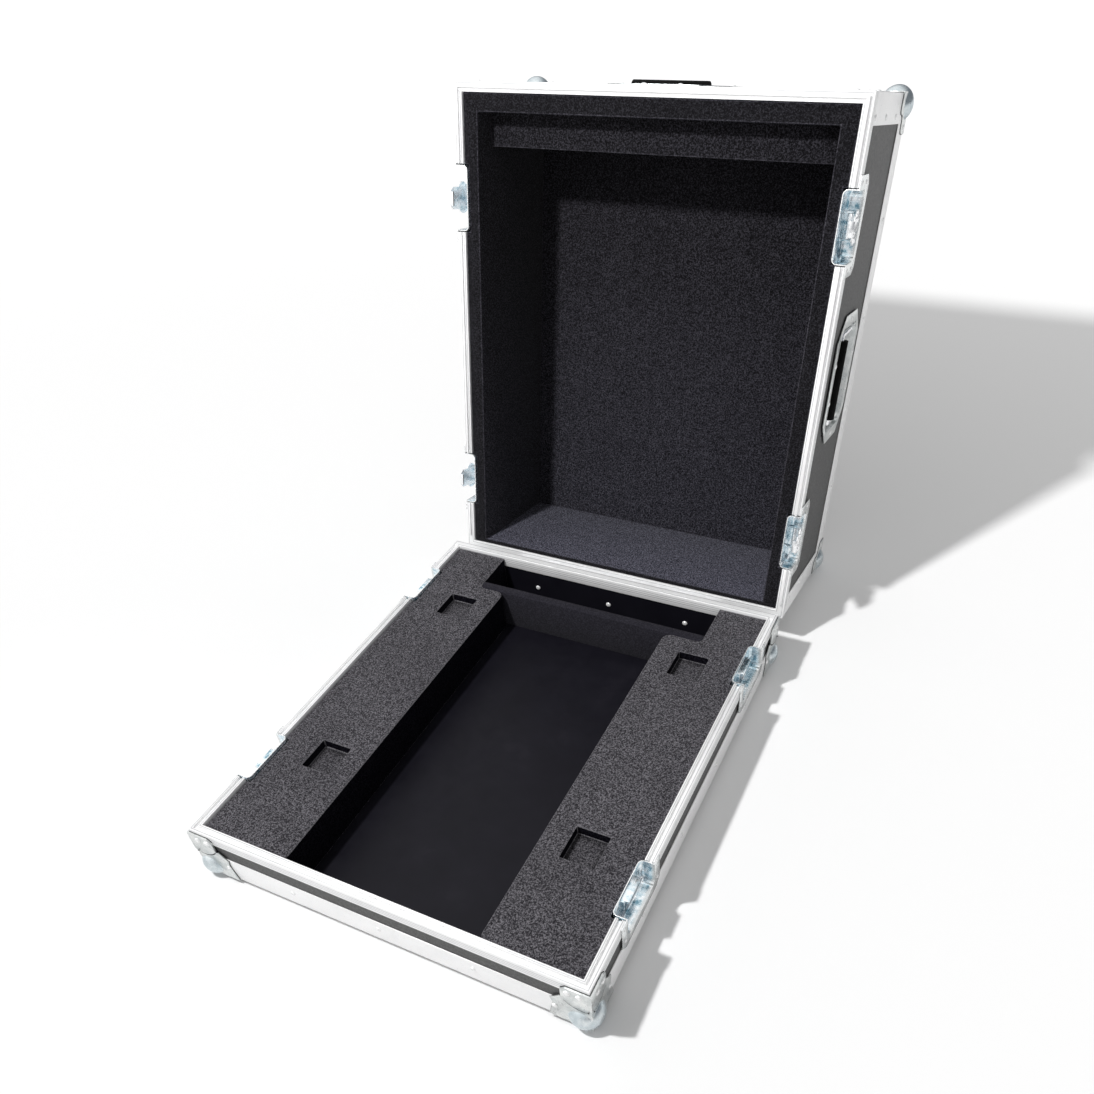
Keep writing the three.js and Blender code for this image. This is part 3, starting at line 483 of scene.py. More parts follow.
zinc = zinc_finish(
    "pale_zinc", ((0.48, 0.51, 0.51), (0.64, 0.66, 0.655), (0.80, 0.805, 0.79)), 0.24, 0.40)
ball_zinc = zinc_finish(
    "ball_zinc", ((0.42, 0.49, 0.52), (0.58, 0.64, 0.665), (0.74, 0.78, 0.79)), 0.24, 0.38, 0.8)
blue_zinc = latch_finish(
    "blue_zinc", ((0.17, 0.32, 0.40), (0.62, 0.74, 0.80), (0.92, 0.95, 0.97)),
    ((0.60, 0.63, 0.64), (0.72, 0.74, 0.74), (0.84, 0.85, 0.84)))
plated_steel = zinc_finish(
    "plated_steel", ((0.84, 0.85, 0.88), (0.93, 0.94, 0.95), (0.97, 0.97, 0.98)), 0.16, 0.28)
rivet_steel = zinc_finish(
    "rivet_steel", ((0.84, 0.85, 0.86), (0.93, 0.93, 0.93), (0.97, 0.97, 0.97)), 0.2, 0.34, 0.15)
# Painted highlight: a brighter finish for the rounded edges of dishes, hooks, wings and handle dishes.
painted_edge_highlight = zinc_finish(
    "painted_edge_highlight", ((0.86, 0.88, 0.89), (0.93, 0.94, 0.94), (0.97, 0.97, 0.97)), 0.2, 0.34, 0.6)
print("film on the latches from", LATCH_FILM_DEPTH, "mm behind the wall's face")

# %% [markdown]
# The foam is a closed-cell sheet. Its cut skin is full of tiny open cells that catch the
# light as pale specks on dark grey. Two noises of about 1 and 2 mm, multiplied together,
# leave separate specks of uneven size, where one noise alone would leave a soft haze, and
# the same specks drive a shallow bump. Each rounded edge is painted in a thin paler line,
# a painted highlight.


# %% Foam finish
GRAIN_STOPS = (0.17, 0.245, 0.32)
GREY_GRAIN = ((0.012, 0.0110, 0.0135), (0.050, 0.048, 0.055), (0.215, 0.207, 0.227))


def foam_finish(name, colours, sheen=0.04, shine=0.1):
    """Foam in three tones: between the cells, the skin, and the specks."""
    dark, middle, _ = colours
    foam = Finish(name, middle, 0.95)
    foam.grain = foam.sum("MULTIPLY", foam.noise(1.05, 3, 0.85), foam.noise(2.15, 2, 0.7))
    wear_and_painted_groove_shade = foam.ramp(foam.noise(70, 4), (0.3, 0.7), (dark, middle))
    foam.colour(foam.mixed(foam.grey(foam.noise(55, 3), 0.0, 0.25),
                           foam.ramp(foam.grain, GRAIN_STOPS, colours), wear_and_painted_groove_shade))
    foam.feed(foam.shader.inputs["Sheen Weight"], sheen)
    foam.feed(foam.shader.inputs["Sheen Roughness"], 0.6)
    foam.shine(shine)
    foam.bump(foam.grain, 0.9, 0.8)
    return foam


base_foam = foam_finish("grey_foam", GREY_GRAIN)
# Painted highlight: a paler foam for the rounded edges of the base's foam.
base_foam_painted_highlight = foam_finish(
    "grey_foam_painted_highlight", ((0.05, 0.048, 0.055), (0.10, 0.097, 0.108), (0.24, 0.235, 0.25)))
# Painted shade: a darker foam with less shine for the upright sides.
painted_shade_foam = foam_finish(
    "painted_shade_foam", ((0.0012, 0.0011, 0.0022), (0.0038, 0.0036, 0.0062), (0.016, 0.015, 0.021)),
    0.0, 0.02)
partition_foam = foam_finish(
    "smooth_foam", ((0.0110, 0.0105, 0.0150), (0.0180, 0.017, 0.0240), (0.036, 0.034, 0.045)))
print("grey foam in", len(GREY_GRAIN), "tones")

# %% [markdown]
# The lid's foam is the darker sheet of the two. Painted light makes what faces up, and the
# lower half, paler, so its rear wall, on which the case would stand, looks paler. The
# painted light is a paler version of the same grain, mixed in by the direction of a face
# and by the height.

# %% Lid foam with painted light
PAINTED_LIGHT_FULL_TO, PAINTED_LIGHT_GONE_FROM, LOW_PAINTED_LIGHT = 60, 470, 0.22


def foam_under_painted_light(name, colours, painted_light_colours):
    foam = foam_finish(name, colours)
    # Painted light: a paler grain for faces that look up the lid and for the lower half.
    painted_light = foam.ramp(foam.grain, GRAIN_STOPS, painted_light_colours)
    facing = foam.measure(foam.node("ShaderNodeTexCoord").outputs["Normal"], LID_ALONG)
    low = foam.scaled(foam.distance(LID_ALONG, LID), PAINTED_LIGHT_FULL_TO, PAINTED_LIGHT_GONE_FROM, LOW_PAINTED_LIGHT, 0.0)
    share = foam.sum("MAXIMUM", foam.grey(facing, 0.0, 1.0, 0.35, 0.8), low)
    foam.colour(foam.mixed(share, foam.painted(), painted_light))
    return foam


# Painted light: up-facing faces and the lower half of this foam are painted paler.
lid_foam = foam_under_painted_light(
    "black_foam", ((0.0004, 0.0003, 0.0007), (0.0052, 0.0048, 0.0066), (0.047, 0.045, 0.055)),
    ((0.003, 0.003, 0.006), (0.042, 0.042, 0.062), (0.20, 0.198, 0.25)))
# Painted shade: a darker foam for the narrow faces at the lid's rim.
lid_painted_shade_foam = foam_finish(
    "black_painted_shade_foam", ((0.0010, 0.0009, 0.0014), (0.0050, 0.0047, 0.0064), (0.030, 0.029, 0.035)))
# Painted highlight: a paler foam for the rounded edges of the lid's foam.
lid_foam_painted_highlight = foam_finish(
    "black_foam_painted_highlight", ((0.010, 0.0095, 0.0125), (0.024, 0.023, 0.030), (0.08, 0.077, 0.092)))
# Painted light: the paler grain thins out over this span above the hinge.
print("dust thins out from", PAINTED_LIGHT_FULL_TO, "to", PAINTED_LIGHT_GONE_FROM, "mm above the hinge")

# %% [markdown]
# The grips are moulded rubber over the steel bail, matt and faintly pitted. The last finish
# is near black, for the painted shade in the gaps between plates.

# %% Rubber and painted gap shade
rubber = Finish("grip_rubber", (0.006, 0.006, 0.007), 0.62)
rubber.colour(rubber.grey(rubber.noise(5, 4), 0.0015, 0.005))
rubber.shine(0.04)
rubber.roughness(rubber.grey(rubber.noise(9, 4), 0.5, 0.72))
rubber.bump(rubber.noise(0.7, 3), 0.06, 0.6)
# Painted shade: this near-black finish stands for the shade in the gaps.
painted_gap_shade = Finish("painted_gap_shade", (0.01, 0.01, 0.012), 0.7)
painted_gap_shade.roughness(painted_gap_shade.grey(painted_gap_shade.noise(6, 3), 0.6, 0.8))
print("rubber and dirt ready")

# %% [markdown]
# Most metal parts have their true shape already and lack only what a press or a file does
# to them: sharp edges turned into small round ones that catch a line of light. A copy of
# the solid is cleaned of the diagonals that cut its flat faces, its edges are rounded with
# a bevel, and the copy stands in for the solid.


# %% Piece helpers
WELD_DISTANCE, FLAT_ANGLE, EDGE_ANGLE = 2e-6, math.radians(1), math.radians(30)
BODY_OF = {node: body for body, nodes in BODIES.items() for node in nodes}


def finish_piece(name, mesh, material, body, replaced=()):
    piece = bpy.data.objects.new(name, mesh)
    bpy.context.scene.collection.objects.link(piece)
    mesh.materials.clear()
    mesh.materials.append(material.material)
    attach(piece, body)
    if replaced:
        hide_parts(*replaced)
    return piece


def add_finish(piece, material):
    """One more finish on a piece; gives its number."""
    piece.data.materials.append(material.material)
    return len(piece.data.materials) - 1


def opened(mesh):
    shape = bmesh.new()
    shape.from_mesh(mesh)
    return shape


def written(shape, mesh):
    shape.to_mesh(mesh)
    shape.free()
    return mesh


def made_mesh(shape, name):
    return written(shape, bpy.data.meshes.new(name))


def flat_faces_whole(shape):
    bmesh.ops.dissolve_limit(shape, angle_limit=FLAT_ANGLE, verts=shape.verts, edges=shape.edges)


def clean_copy(node):
    """The solid's mesh with its flat faces made whole."""
    mesh = NODES[node].data.copy()
    shape = opened(mesh)
    bmesh.ops.remove_doubles(shape, verts=shape.verts, dist=WELD_DISTANCE)
    flat_faces_whole(shape)
    return written(shape, mesh)


def smooth_faces(mesh, angle=32):
    for polygon in mesh.polygons:
        polygon.use_smooth = True
    mesh.set_sharp_from_angle(angle=math.radians(angle))


def bevelled(piece, width, segments=2, edge_finish=None):
    """Round the sharp edges of a piece, in a finish of their own if one is given."""
    edge = piece.modifiers.new("edge", "BEVEL")
    if edge_finish is not None:
        edge.material = add_finish(piece, edge_finish)
    edge.width = width * MM
    edge.segments = segments
    edge.limit_method = "ANGLE"
    edge.angle_limit = EDGE_ANGLE
    rounded_piece = piece.evaluated_get(bpy.context.evaluated_depsgraph_get())
    mesh = bpy.data.meshes.new_from_object(rounded_piece)
    piece.modifiers.clear()
    piece.data = mesh
    smooth_faces(mesh)
    return piece


def dress(node, material, width=0.4, segments=2, edge_finish=None):
    """A rounded copy of a solid, in its finish, that stands for the solid."""
    piece = finish_piece(f"{node}_dressed", clean_copy(node), material, BODY_OF[node],
                         (node,))
    return bevelled(piece, width, segments, edge_finish)


def named(*starts):
    return [node for node in NODES if node.startswith(starts)]


# %% [markdown]
# A board is laminate on the outside and black on the inside. Which side a face is on shows
# by the way it looks from the middle of its half of the case.

# %% Boards
MIDDLES = {"base": in_base(CASE_WIDTH / 2, CASE_LENGTH / 2, -BASE_DEPTH / 2),
           "lid": in_lid(CASE_WIDTH / 2, CASE_LENGTH / 2, LID_DEPTH / 2)}
for node, piece in NODES.items():
    if node.endswith(("_wall", "_panel")):
        piece.data.materials.clear()
        piece.data.materials.append(laminate.material)
        piece.data.materials.append(inner_board.material)
        middle = MIDDLES[node.split("_")[0]]
        for face in piece.data.polygons:
            face.material_index = 1 if face.normal.dot(middle - face.center) > 0 else 0
        print(node, "outside laminate, inside black")

# %% [markdown]
# The rims are thin extrusions with narrow lips. The angles along the floor and round the
# top board are thicker, and their edges a little rounder.

# %% Edge metal with rounded edges
RIMS, ANGLES = [node for node in NODES if "_rim_" in node], ["base_bottom_angle", "lid_edge_frame"]
for node in RIMS + ANGLES:
    dress(node, aluminium[node.split("_")[0]], 0.6 if node in RIMS else 0.7, 3)
print(len(RIMS), "rims and", len(ANGLES), "angles")

# %% [markdown]
# A latch dish is drawn from one thin sheet, so its floor runs up into the walls in a soft
# bend. The solid has that bend as a sharp corner. Here the sheet is first cut into narrow
# strips along the corner, and then every point near the corner is drawn towards the centre
# of the bend. A square round that centre becomes a circle, so both skins of the sheet keep
# their distance and the sheet stays even.

# %% Latch dishes with a drawn bend
PAN_DEPTH, PAN_HALF, PAN_HEIGHT, PAN_ROUND, PAN_BEND = 17, 40, 36, 9, 5.5
BEND_STEPS, ON_PLANE, AT_RIM = 4, 1e-7, 0.3
PAN_MIDDLES = {"keeper": {"front": 139, "rear": CASE_LENGTH - 123},
               "latch": {"rear": 123, "front": 533}}


def pan_axes(node):
    """Middle of a latch pocket at the rim; its ways along the rim, away from it and inwards."""
    kind, _, side, end = node.split("_")
    place, deep = (in_base, -1) if kind == "keeper" else (in_lid, 1)
    across, middle = (CASE_WIDTH if side == "right" else 0), PAN_MIDDLES[kind][end]
    start = place(across, middle, 0)
    along = (place(across, middle + 1, 0) - start).normalized()
    away = (place(across, middle, deep) - start).normalized()
    return start, along, away, LEFT if side == "right" else RIGHT


def cut_strips(shape, axes):
    """Cut the sheet into narrow strips along the corner at the pocket's floor."""
    start, along, away, inward = axes
    for step in range(BEND_STEPS):
        strip = PAN_BEND * (1 - math.tan(math.pi / 4 * step / BEND_STEPS))
        for way, distance in ((inward, PAN_DEPTH - strip), (away, PAN_HEIGHT - strip),
                              (along, PAN_HALF - strip), (along, strip - PAN_HALF)):
            everything = shape.verts[:] + shape.edges[:] + shape.faces[:]
            bmesh.ops.bisect_plane(shape, geom=everything, dist=ON_PLANE,
                                   plane_co=start + way * distance * MM, plane_no=way)


def nearest_wall(sideways, high, along, away):
    """The way to the pocket's nearest wall, and how far off it is."""
    over_side = abs(sideways) - (PAN_HALF - PAN_ROUND)
    over_high = high - (PAN_HEIGHT - PAN_ROUND)
    if over_side > 0 and over_high > 0:
        way = along * math.copysign(over_side, sideways) + away * over_high
        return way.normalized(), PAN_ROUND - math.hypot(over_side, over_high)
    way = along * math.copysign(1, sideways) if over_side > over_high else away
    return way, PAN_ROUND - max(over_side, over_high)


def drawn_bend(mesh, axes):
    """Round the corner between the pocket's floor and its three walls."""
    start, along, away, inward = axes
    shape = opened(mesh)
    cut_strips(shape, axes)
    for vertex in shape.verts:
        offset = (vertex.co - start) / MM
        outwards, from_wall = nearest_wall(offset.dot(along), offset.dot(away), along, away)
        to_wall, to_floor = PAN_BEND - from_wall, PAN_BEND - (PAN_DEPTH - offset.dot(inward))
        if to_wall > 0 and to_floor > 0:
            shrink = 1 - max(to_wall, to_floor) / math.hypot(to_wall, to_floor)
            vertex.co -= (outwards * to_wall + inward * to_floor) * shrink * MM
    written(shape, mesh)


for node in named("latch_dish", "keeper_dish"):
    dish = finish_piece(f"{node}_dressed", clean_copy(node), blue_zinc, BODY_OF[node],
                        (node,))
    axes = pan_axes(node)
    drawn_bend(dish.data, axes)
    bevelled(dish, 0.3, 2, painted_edge_highlight)
    # Painted highlight: the dish's faces at the rim take the brighter edge finish too.
    for face in dish.data.polygons:
        if abs((face.center - axes[0]).dot(axes[2])) < AT_RIM * MM:
            face.material_index = 1
    print(node, len(dish.data.polygons), "faces")

# %% [markdown]
# The moving parts of the latches are plated brighter than their dishes, and a hand keeps
# them clean. The hinge is the same steel, and the handle dishes are pale zinc.

# %% Hooks, wings, hinge and handle dishes
# Painted highlight: hooks, wings and handle dishes take the brighter finish on their rounded edges.
for node in NODES:
    if node.startswith(("latch_hook", "latch_wing")):
        dress(node, plated_steel, 0.35, 2, painted_edge_highlight)
    if node.startswith("hinge_"):
        dress(node, plated_steel, 0.35)
    if node.startswith("handle_dish"):
        dress(node, zinc, 0.45, 2, painted_edge_highlight)
print(len(named("latch_hook")), "hooks,", len(named("handle_dish")), "handle dishes")

# %% [markdown]
# A grip is one forging with two skins: a rubber sleeve on the straight part, and plated
# steel on the two arms that reach down to the pivots. The solid is one piece, so the skins
# are told apart face by face, by how far a face lies from the middle of the handle.

# %% Grips
SLEEVE_HALF = 53.1


def along_lid(point, sideways):
    """How far a point lies along a wall of the lid, in millimetres: across it, or up it."""
    return (point - LID).dot(RIGHT if sideways else LID_ALONG) / MM


for node in named("handle_grip"):
    grip = dress(node, rubber, 0.3)
    steel = add_finish(grip, plated_steel)
    sideways = node.endswith("front")
    middle = CASE_WIDTH / 2 if sideways else CASE_LENGTH / 2
    for face in grip.data.polygons:
        from_middle = abs(along_lid(face.center, sideways) - middle)
        face.material_index = 0 if from_middle < SLEEVE_HALF else steel
    print(node, "sleeve", 2 * SLEEVE_HALF, "mm long")

# %% [markdown]
# A ball corner is pressed from one sheet: a ball that takes the knocks, and three plates
# that lap over the edge metal. The solid's ball has flat facets, which polished zinc would
# show at once, so the facets are taken off the copy and a fine ball is set in their place,
# a hair larger, without the part that would lie inside the case.

# %% Ball corners
BALL_RADIUS, BALL_INSET, BALL_PROUD, BALL_HIDDEN = 22, 12.5, 0.05, 11.5
BALL_FINENESS, FACET_SLACK, CORNER_ANGLE = 5, 0.25, 38


def corner_places(node):
    """Ball centre of a corner, and the three directions into the case."""
    half, _, _, end, side = node.split("_")
    far_side, far_end = side == "right", end != ("front" if half == "base" else "rear")
    x = CASE_WIDTH - BALL_INSET if far_side else BALL_INSET
    y = CASE_LENGTH - BALL_INSET if far_end else BALL_INSET
    inward = LEFT if far_side else RIGHT
    if half == "base":
        return in_base(x, y, BALL_INSET - BASE_DEPTH), (inward, FRONT if far_end else BACK, UPRIGHT)
    along = -LID_ALONG if far_end else LID_ALONG
    return in_lid(x, y, LID_DEPTH - BALL_INSET), (inward, along, -LID_INTO)


def is_facet(face, centre):
    """Whether a face belongs to the solid's faceted ball."""
    return all(abs((vertex.co - centre).length - BALL_RADIUS * MM) < FACET_SLACK * MM
               for vertex in face.verts)


def is_hidden(vertex, centre, inward):
    return all((vertex.co - centre).dot(way) > -BALL_HIDDEN * MM for way in inward)


for node in named("base_ball", "lid_ball"):
    centre, inward = corner_places(node)
    corner = dress(node, zinc, 0.35)
    on_ball = add_finish(corner, ball_zinc)
    shape = opened(corner.data)
    facets = [face for face in shape.faces if is_facet(face, centre)]
    bmesh.ops.delete(shape, geom=facets, context="FACES")
    ball = bmesh.ops.create_icosphere(
        shape, subdivisions=BALL_FINENESS, radius=(BALL_RADIUS + BALL_PROUD) * MM,
        matrix=Matrix.Translation(centre))["verts"]
    hidden = [vertex for vertex in ball if is_hidden(vertex, centre, inward)]
    bmesh.ops.delete(shape, geom=hidden, context="VERTS")
    for vertex in ball:
        if vertex.is_valid:
            for face in vertex.link_faces:
                face.material_index = on_ball
    smooth_faces(written(shape, corner.data), CORNER_ANGLE)
    print(node, len(facets), "facets replaced by a fine ball")

# %% [markdown]
# The two long foam blocks are cut from one sheet each. Their solids come in two lengths
# with a hair's gap, so the copies are put together again: the two faces at the gap are
# deleted, the points on both sides of it are drawn together, and the leftover edge across
# the flat faces is dissolved. The upright sides are painted darker than the open skin on
# top and have less shine, as painted shade. The pockets were scooped out, and their floors
# hold painted shade: they are the same foam, painted darker towards the walls of each pocket.

# %% Foam in the base
POCKET_WIDTH, POCKET_LENGTH, POCKET_SHADE, SHADE_REACH, SHADE_LIMIT = 46, 50, 0.22, 11.0, 0.85
POCKET_LEAST_DEPTH, POCKET_LEAST_AREA, FACES_UP, LEANS = 10, 1000, 0.9, 0.5
FOAM_EDGE, FOAM_SEAM_GAP = 1.3, 0.4
seam_line = in_base(0, CASE_LENGTH / 2, 0).y


def pocket_painted_shade_finish(middles):
    """Grey foam with painted shade: darker towards the walls of the pockets round these middles."""
    foam = foam_finish("pocket_foam_painted_shade", GREY_GRAIN)
    shaded = foam.ramp(foam.grain, GRAIN_STOPS,
                       [[POCKET_SHADE * value for value in colour] for colour in GREY_GRAIN])
    inside = -POCKET_LENGTH
    for middle in middles:
        to_wall = foam.sum("MINIMUM", foam.inside(RIGHT, middle, POCKET_WIDTH / 2),
                           foam.inside(BACK, middle, POCKET_LENGTH / 2))
        inside = foam.sum("MAXIMUM", inside, to_wall)
    share = foam.grey(foam.sum("DIVIDE", inside, SHADE_REACH), 0.0, SHADE_LIMIT, 0.0, 1.0)
    foam.colour(foam.mixed(share, shaded, foam.painted()))
    return foam


def at_seam(vertex):
    return abs(vertex.co.y - seam_line) < FOAM_SEAM_GAP * MM


def whole_block(side):
    """Both lengths of a foam block as one mesh."""
    shape = bmesh.new()
    for end in ("front", "rear"):
        shape.from_mesh(NODES[f"base_foam_{side}_{end}"].data)
    bmesh.ops.remove_doubles(shape, verts=shape.verts, dist=WELD_DISTANCE)
    caps = [face for face in shape.faces if all(at_seam(vertex) for vertex in face.verts)]
    bmesh.ops.delete(shape, geom=caps, context="FACES")
    bmesh.ops.remove_doubles(shape, verts=[vertex for vertex in shape.verts if at_seam(vertex)],
                             dist=FOAM_SEAM_GAP * MM)
    flat_faces_whole(shape)
    return made_mesh(shape, f"base_foam_{side}")


for side in ("left", "right"):
    nodes = (f"base_foam_{side}_front", f"base_foam_{side}_rear")
    block = finish_piece(f"base_foam_{side}_block", whole_block(side), base_foam, "base",
                         nodes)
    # Painted highlight: the rounded edges take the paler edge foam.
    bevelled(block, FOAM_EDGE, 3, base_foam_painted_highlight)
    # Painted shade: the upright sides take the darker foam.
    on_painted_shade = add_finish(block, painted_shade_foam)
    for face in block.data.polygons:
        if face.material_index == 0 and abs(face.normal.z) < LEANS:
            face.material_index = on_painted_shade
    skin = max(vertex.co.z for vertex in block.data.vertices)
    floors = [face for face in block.data.polygons
              if face.normal.z > FACES_UP and face.area > POCKET_LEAST_AREA * MM ** 2
              and face.center.z < skin - POCKET_LEAST_DEPTH * MM]
    # Painted shade: the pocket floors take the foam that is painted darker towards their walls.
    on_floor = add_finish(block, pocket_painted_shade_finish([face.center.copy() for face in floors]))
    for face in floors:
        face.material_index = on_floor
    print(side, "block", len(block.data.polygons), "faces", len(floors), "pocket floors")
partition = dress("base_foam_partition", partition_foam, 0.6)

# %% [markdown]
# The lid's foam has the same painted highlight in thin paler edges. Its narrow faces at the
# rim are painted darker than the skin, as painted shade.

# %% Foam in the lid
RIM_FACE_DEPTH, LOOKS_OUT = 6, -0.7
for node in named("lid_foam"):
    # Painted highlight: the rounded edges take the paler edge foam.
    pad = dress(node, lid_foam, FOAM_EDGE, 3, lid_foam_painted_highlight)
    # Painted shade: the narrow faces at the rim take the darker foam.
    on_painted_shade = add_finish(pad, lid_painted_shade_foam)
    for face in pad.data.polygons:
        at_rim = (face.center - LID).dot(LID_INTO) < RIM_FACE_DEPTH * MM
        if face.material_index == 0 and at_rim and face.normal.dot(LID_INTO) < LOOKS_OUT:
            face.material_index = on_painted_shade
    print(node, len(pad.data.polygons), "faces")

# %% [markdown]
# Everything is held on by rivets with low domed heads. Each is named by its place on a
# face and the way the face looks, and is then let down onto the solids along that way, so
# it sits on the plate, leaf or angle that is really there. All rivets of one body are one
# mesh, turned from one small profile.

# %% Rivet helpers
RIVET_SIDES, RIVET_ANGLE = 16, 50
RIVET_PROFILE = ((1.0, -0.12), (1.0, 0.06), (0.93, 0.19), (0.74, 0.33), (0.48, 0.42), (0.22, 0.46))
DROP_FROM, DROP = 30, 45


def surface_of(body, left_out=()):
    """The solids of a body as one search tree."""
    points, faces = [], []
    for node in BODIES[body]:
        if not node.startswith(left_out):
            mesh, start = NODES[node].data, len(points)
            points += [vertex.co.copy() for vertex in mesh.vertices]
            faces += [[start + index for index in face.vertices] for face in mesh.polygons]
    return BVHTree.FromPolygons(points, faces)


def let_down(surface, point, way):
    """Where a point comes to rest on the solids when it is let down against a way."""
    return surface.ray_cast(point + way * DROP_FROM * MM, -way, DROP * MM)[0]


def add_tube(shape, rings):
    """Faces between rings of points, and over both ends."""
    for low, high in zip(rings, rings[1:]):
        for step in range(len(low)):
            after = (step + 1) % len(low)
            shape.faces.new((low[step], low[after], high[after], high[step]))
    shape.faces.new(rings[-1])
    shape.faces.new(rings[0][::-1])


def add_rivet(shape, seat, way, radius):
    side = way.orthogonal().normalized()
    other = way.cross(side)
    rings = []
    for across, up in RIVET_PROFILE:
        ring = []
        for step in range(RIVET_SIDES):
            angle = 2 * math.pi * step / RIVET_SIDES
            spoke = side * math.cos(angle) + other * math.sin(angle)
            ring.append(shape.verts.new(seat + (spoke * across + way * up) * radius * MM))
        rings.append(ring)
    add_tube(shape, rings)


def rivets(name, body, places):
    """One mesh of rivets; a place is a point, the way the head looks and the head's radius."""
    surface, shape, seated = surface_of(body), bmesh.new(), 0
    for point, way, radius in places:
        seat = let_down(surface, point, way)
        if seat is not None:
            add_rivet(shape, seat, way, radius)
            seated += 1
    piece = finish_piece(name, made_mesh(shape, name), rivet_steel, body)
    smooth_faces(piece.data, RIVET_ANGLE)
    print(name, seated, "of", len(places), "rivets seated")


def on_sides(place, along, deep, radius):
    """The same rivet on the left wall and on the right wall."""
    return [(place(0, along, deep), LEFT, radius), (place(CASE_WIDTH, along, deep), RIGHT, radius)]


def on_ends(place, across, deep, radius):
    """The same rivet on both end walls."""
    near, far = (FRONT, BACK) if place is in_base else (-LID_ALONG, LID_ALONG)
    return [(place(across, 0, deep), near, radius), (place(across, CASE_LENGTH, deep), far, radius)]


def from_both(distance, length):
    return distance, length - distance


# %% [markdown]
# The base has a row of rivets along the bottom angle, four round each half dish, three on
# each face of a corner, a row in the hinge's leaf, and three that show inside at the back.

# %% Rivets of the base
ROW_RIVET, SEAT_RIVET, LATCH_RIVET, LATCH_STEPS = 3.4, 4.2, 2.6, (-48, 48)
HINGE_ROW = (125, 203, 280, 357, 435)
ANGLE_ROW, INNER_ROW, LEAF_ROW, BRACE_ROW = -57, -51, -50, -14.5
INNER_FACE, INNER_STEP = CASE_LENGTH - 10.75, 9
CORNER_RIVETS = ((12, BRACE_ROW, 4.4), (26.5, BRACE_ROW, 4.4), (45, ANGLE_ROW, 3.6))

base_places = []
for x in (148, 277, 409):
    base_places.append((in_base(x, 0, ANGLE_ROW), FRONT, ROW_RIVET))
    base_places.append((in_base(x + INNER_STEP, INNER_FACE, INNER_ROW), FRONT, SEAT_RIVET))
for y in (145, 273, 403, 530):
    base_places += on_sides(in_base, y, ANGLE_ROW, ROW_RIVET)
for x in HINGE_ROW:
    base_places.append((in_base(x, CASE_LENGTH, LEAF_ROW), BACK, ROW_RIVET))
for distance, height, radius in CORNER_RIVETS:
    for x in from_both(distance, CASE_WIDTH):
        base_places += on_ends(in_base, x, height, radius)
    for y in from_both(distance, CASE_LENGTH):
        base_places += on_sides(in_base, y, height, radius)
for y, step, height in product(PAN_MIDDLES["keeper"].values(), LATCH_STEPS, (-9, -33)):
    base_places += on_sides(in_base, y + step, height, LATCH_RIVET)
rivets("base_rivets", "base", base_places)

# %% [markdown]
# The lid has a row along the edge angle on each wall, three rivets up each upright angle
# and one in each corner plate, four round each half dish, six round every handle dish, and
# a row in the hinge's strap.

# %% Rivets of the lid
TOP_ROW, STRAP_ROW = 214, 36
UPRIGHT_RIVETS = ((26, 22), (26, 90), (26, 158), (38, 220))
HANDLE_RIVETS = ((-25, 54), (25, 54), (-25, 162), (25, 162), (-78, 108), (78, 108))

lid_places = []
for along in (141, 269, 397, 525):
    lid_places += on_sides(in_lid, along, TOP_ROW, ROW_RIVET)
for x in (140, 280, 420):
    lid_places += on_ends(in_lid, x, TOP_ROW, ROW_RIVET)
for distance, into in UPRIGHT_RIVETS:
    for along in from_both(distance, CASE_LENGTH):
        lid_places += on_sides(in_lid, along, into, ROW_RIVET)
    for across in from_both(distance, CASE_WIDTH):
        lid_places += on_ends(in_lid, across, into, ROW_RIVET)
for along, step, into in product(PAN_MIDDLES["latch"].values(), LATCH_STEPS, (9, 33)):
    lid_places += on_sides(in_lid, along + step, into, LATCH_RIVET)
for step, into in HANDLE_RIVETS:
    lid_places += on_sides(in_lid, CASE_LENGTH / 2 + step, into, ROW_RIVET)
    lid_places.append((in_lid(CASE_WIDTH / 2 + step, CASE_LENGTH, into), LID_ALONG, ROW_RIVET))
for x in HINGE_ROW:
    lid_places.append((in_lid(x, 0, STRAP_ROW), -LID_ALONG, ROW_RIVET))
rivets("lid_rivets", "lid", lid_places)

# %% [markdown]
# Where a plate lies on a wall, or a brace on its corner, there is a hair of a gap, and its
# shade is painted as a thin dark line. The line is found, not drawn: it follows every
# sharp edge of a fitting that lies close against another solid, and every step within a
# corner that is away from its ball. The foot of the brace hides its own gap from above, so
# two lines of painted shadow are laid just below its curve.

# %% Line helpers
LINE_RADIUS, LINE_SIDES, LEAST_LENGTH, SHARP = 0.55, 6, 0.1, 0.9
CLOSE_TO_WALL, CLEAR_OF_BALL, CLEAR_OF_SEAM = 0.4, 24, 0.9
BRACE_WIDTH, BRACE_SIDE, BRACE_FOOT, BRACE_SWEEP, BRACE_STEPS = 35, 51, 41, 10, 10
FOOT_LINES, FOOT_INSET = ((0.8, 0.6), (1.6, 0.3)), 1
CORNERS = {"base": RIM, "lid": LID}
FITTINGS = ("base_ball", "lid_ball", "latch_dish", "keeper_dish", "handle_dish", "hinge_")


def off_seam(edge, body):
    """Both ends of an edge, cut off where the edge comes too near the plane of the rim."""
    ends = [vertex.co.copy() for vertex in edge.verts]
    depths = [(end - CORNERS[body]).dot(INTO[body]) - CLEAR_OF_SEAM * MM for end in ends]
    for this, other in ((0, 1), (1, 0)):
        if depths[this] < 0:
            share = 1
            if depths[other] > 0:
                share = min(1, depths[this] / (depths[this] - depths[other]))
            ends[this] = ends[this].lerp(ends[other], share)
    return ends


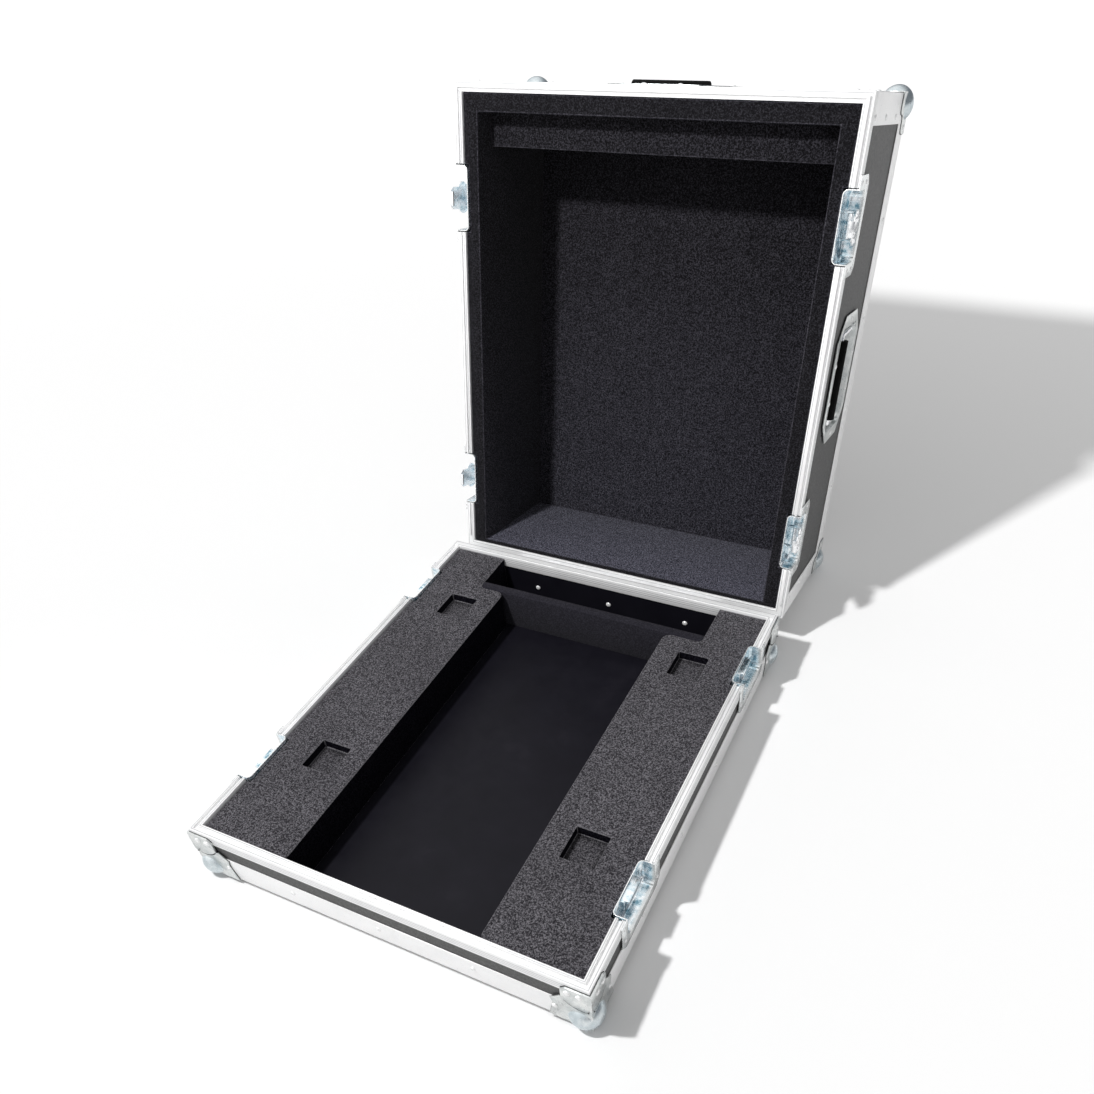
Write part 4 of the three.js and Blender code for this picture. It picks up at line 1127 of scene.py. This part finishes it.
def add_thread(shape, start, end):
    """A thin six-sided thread, if there is any length for it; gives the number laid."""
    if (end - start).length < LEAST_LENGTH * MM:
        return 0
    way = (end - start).normalized()
    side = way.orthogonal().normalized() * LINE_RADIUS * MM
    spokes = [Matrix.Rotation(2 * math.pi * step / LINE_SIDES, 3, way) @ side
              for step in range(LINE_SIDES)]
    add_tube(shape, [[shape.verts.new(point + spoke) for spoke in spokes]
                     for point in (start, end)])
    return 1


def foot_height(share):
    """Height of the brace's foot, along a curve from its side to its middle."""
    return (BRACE_SIDE * (1 - share) ** 2 + 2 * (BRACE_FOOT - BRACE_SWEEP) * share * (1 - share)
            + BRACE_FOOT * share ** 2)


def brace_foot(node, surface):
    """Seats along the curved foot of the brace, on both faces of a corner of the base."""
    centre, (inward_x, inward_y, up) = corner_places(node)
    corner = centre - (inward_x + inward_y + up) * BALL_INSET * MM
    faces = (inward_x, inward_y), (inward_y, inward_x)
    for (aside, inward), (below, proud) in product(faces, FOOT_LINES):
        seats = []
        for step in range(BRACE_STEPS + 1):
            share = step / BRACE_STEPS
            across = max(BRACE_WIDTH * (1 - share), FOOT_INSET)
            point = corner + (aside * across + up * (foot_height(share) - below)) * MM
            seats.append(let_down(surface, point, -inward) - inward * proud * MM)
        yield from zip(seats, seats[1:])


def line_edges(node, walls):
    """The edges of a fitting that get a dark line."""
    fitting = opened(clean_copy(node))
    ball = corner_places(node)[0] if "ball_corner" in node else None
    for edge in fitting.edges:
        bend = edge.calc_face_angle_signed(0)
        middle = (edge.verts[0].co + edge.verts[1].co) / 2
        if bend > SHARP and walls.find_nearest(middle, CLOSE_TO_WALL * MM)[0] is not None:
            yield edge
        elif bend < -SHARP and ball is not None and (middle - ball).length > CLEAR_OF_BALL * MM:
            yield edge
    fitting.free()


# %% [markdown]
# A thin dark thread of painted shade is laid along each edge that was found. The seam
# between the two halves stays clear, so that the case can close.

# %% Joint lines
for body in ("base", "lid"):
    walls, surface = surface_of(body, FITTINGS), surface_of(body)
    threads, count = bmesh.new(), 0
    for node in [n for n in BODIES[body] if n.startswith(FITTINGS)]:
        for edge in line_edges(node, walls):
            count += add_thread(threads, *off_seam(edge, body))
        if node.startswith("base_ball"):
            for start, end in brace_foot(node, surface):
                count += add_thread(threads, start, end)
    name = f"{body}_joint_lines"
    finish_piece(name, made_mesh(threads, name), painted_gap_shade, body)
    print(body, count, "dark joint lines")

# %% [markdown]
# Last, the two boxes are written down: the solids' and the dressed case's, so that their
# sizes can be compared.

# %% Sizes and the last line
dressed_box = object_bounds()
print("solid", rounded(solid_box[1] - solid_box[0]))
print("dressed", rounded(dressed_box[1] - dressed_box[0]))
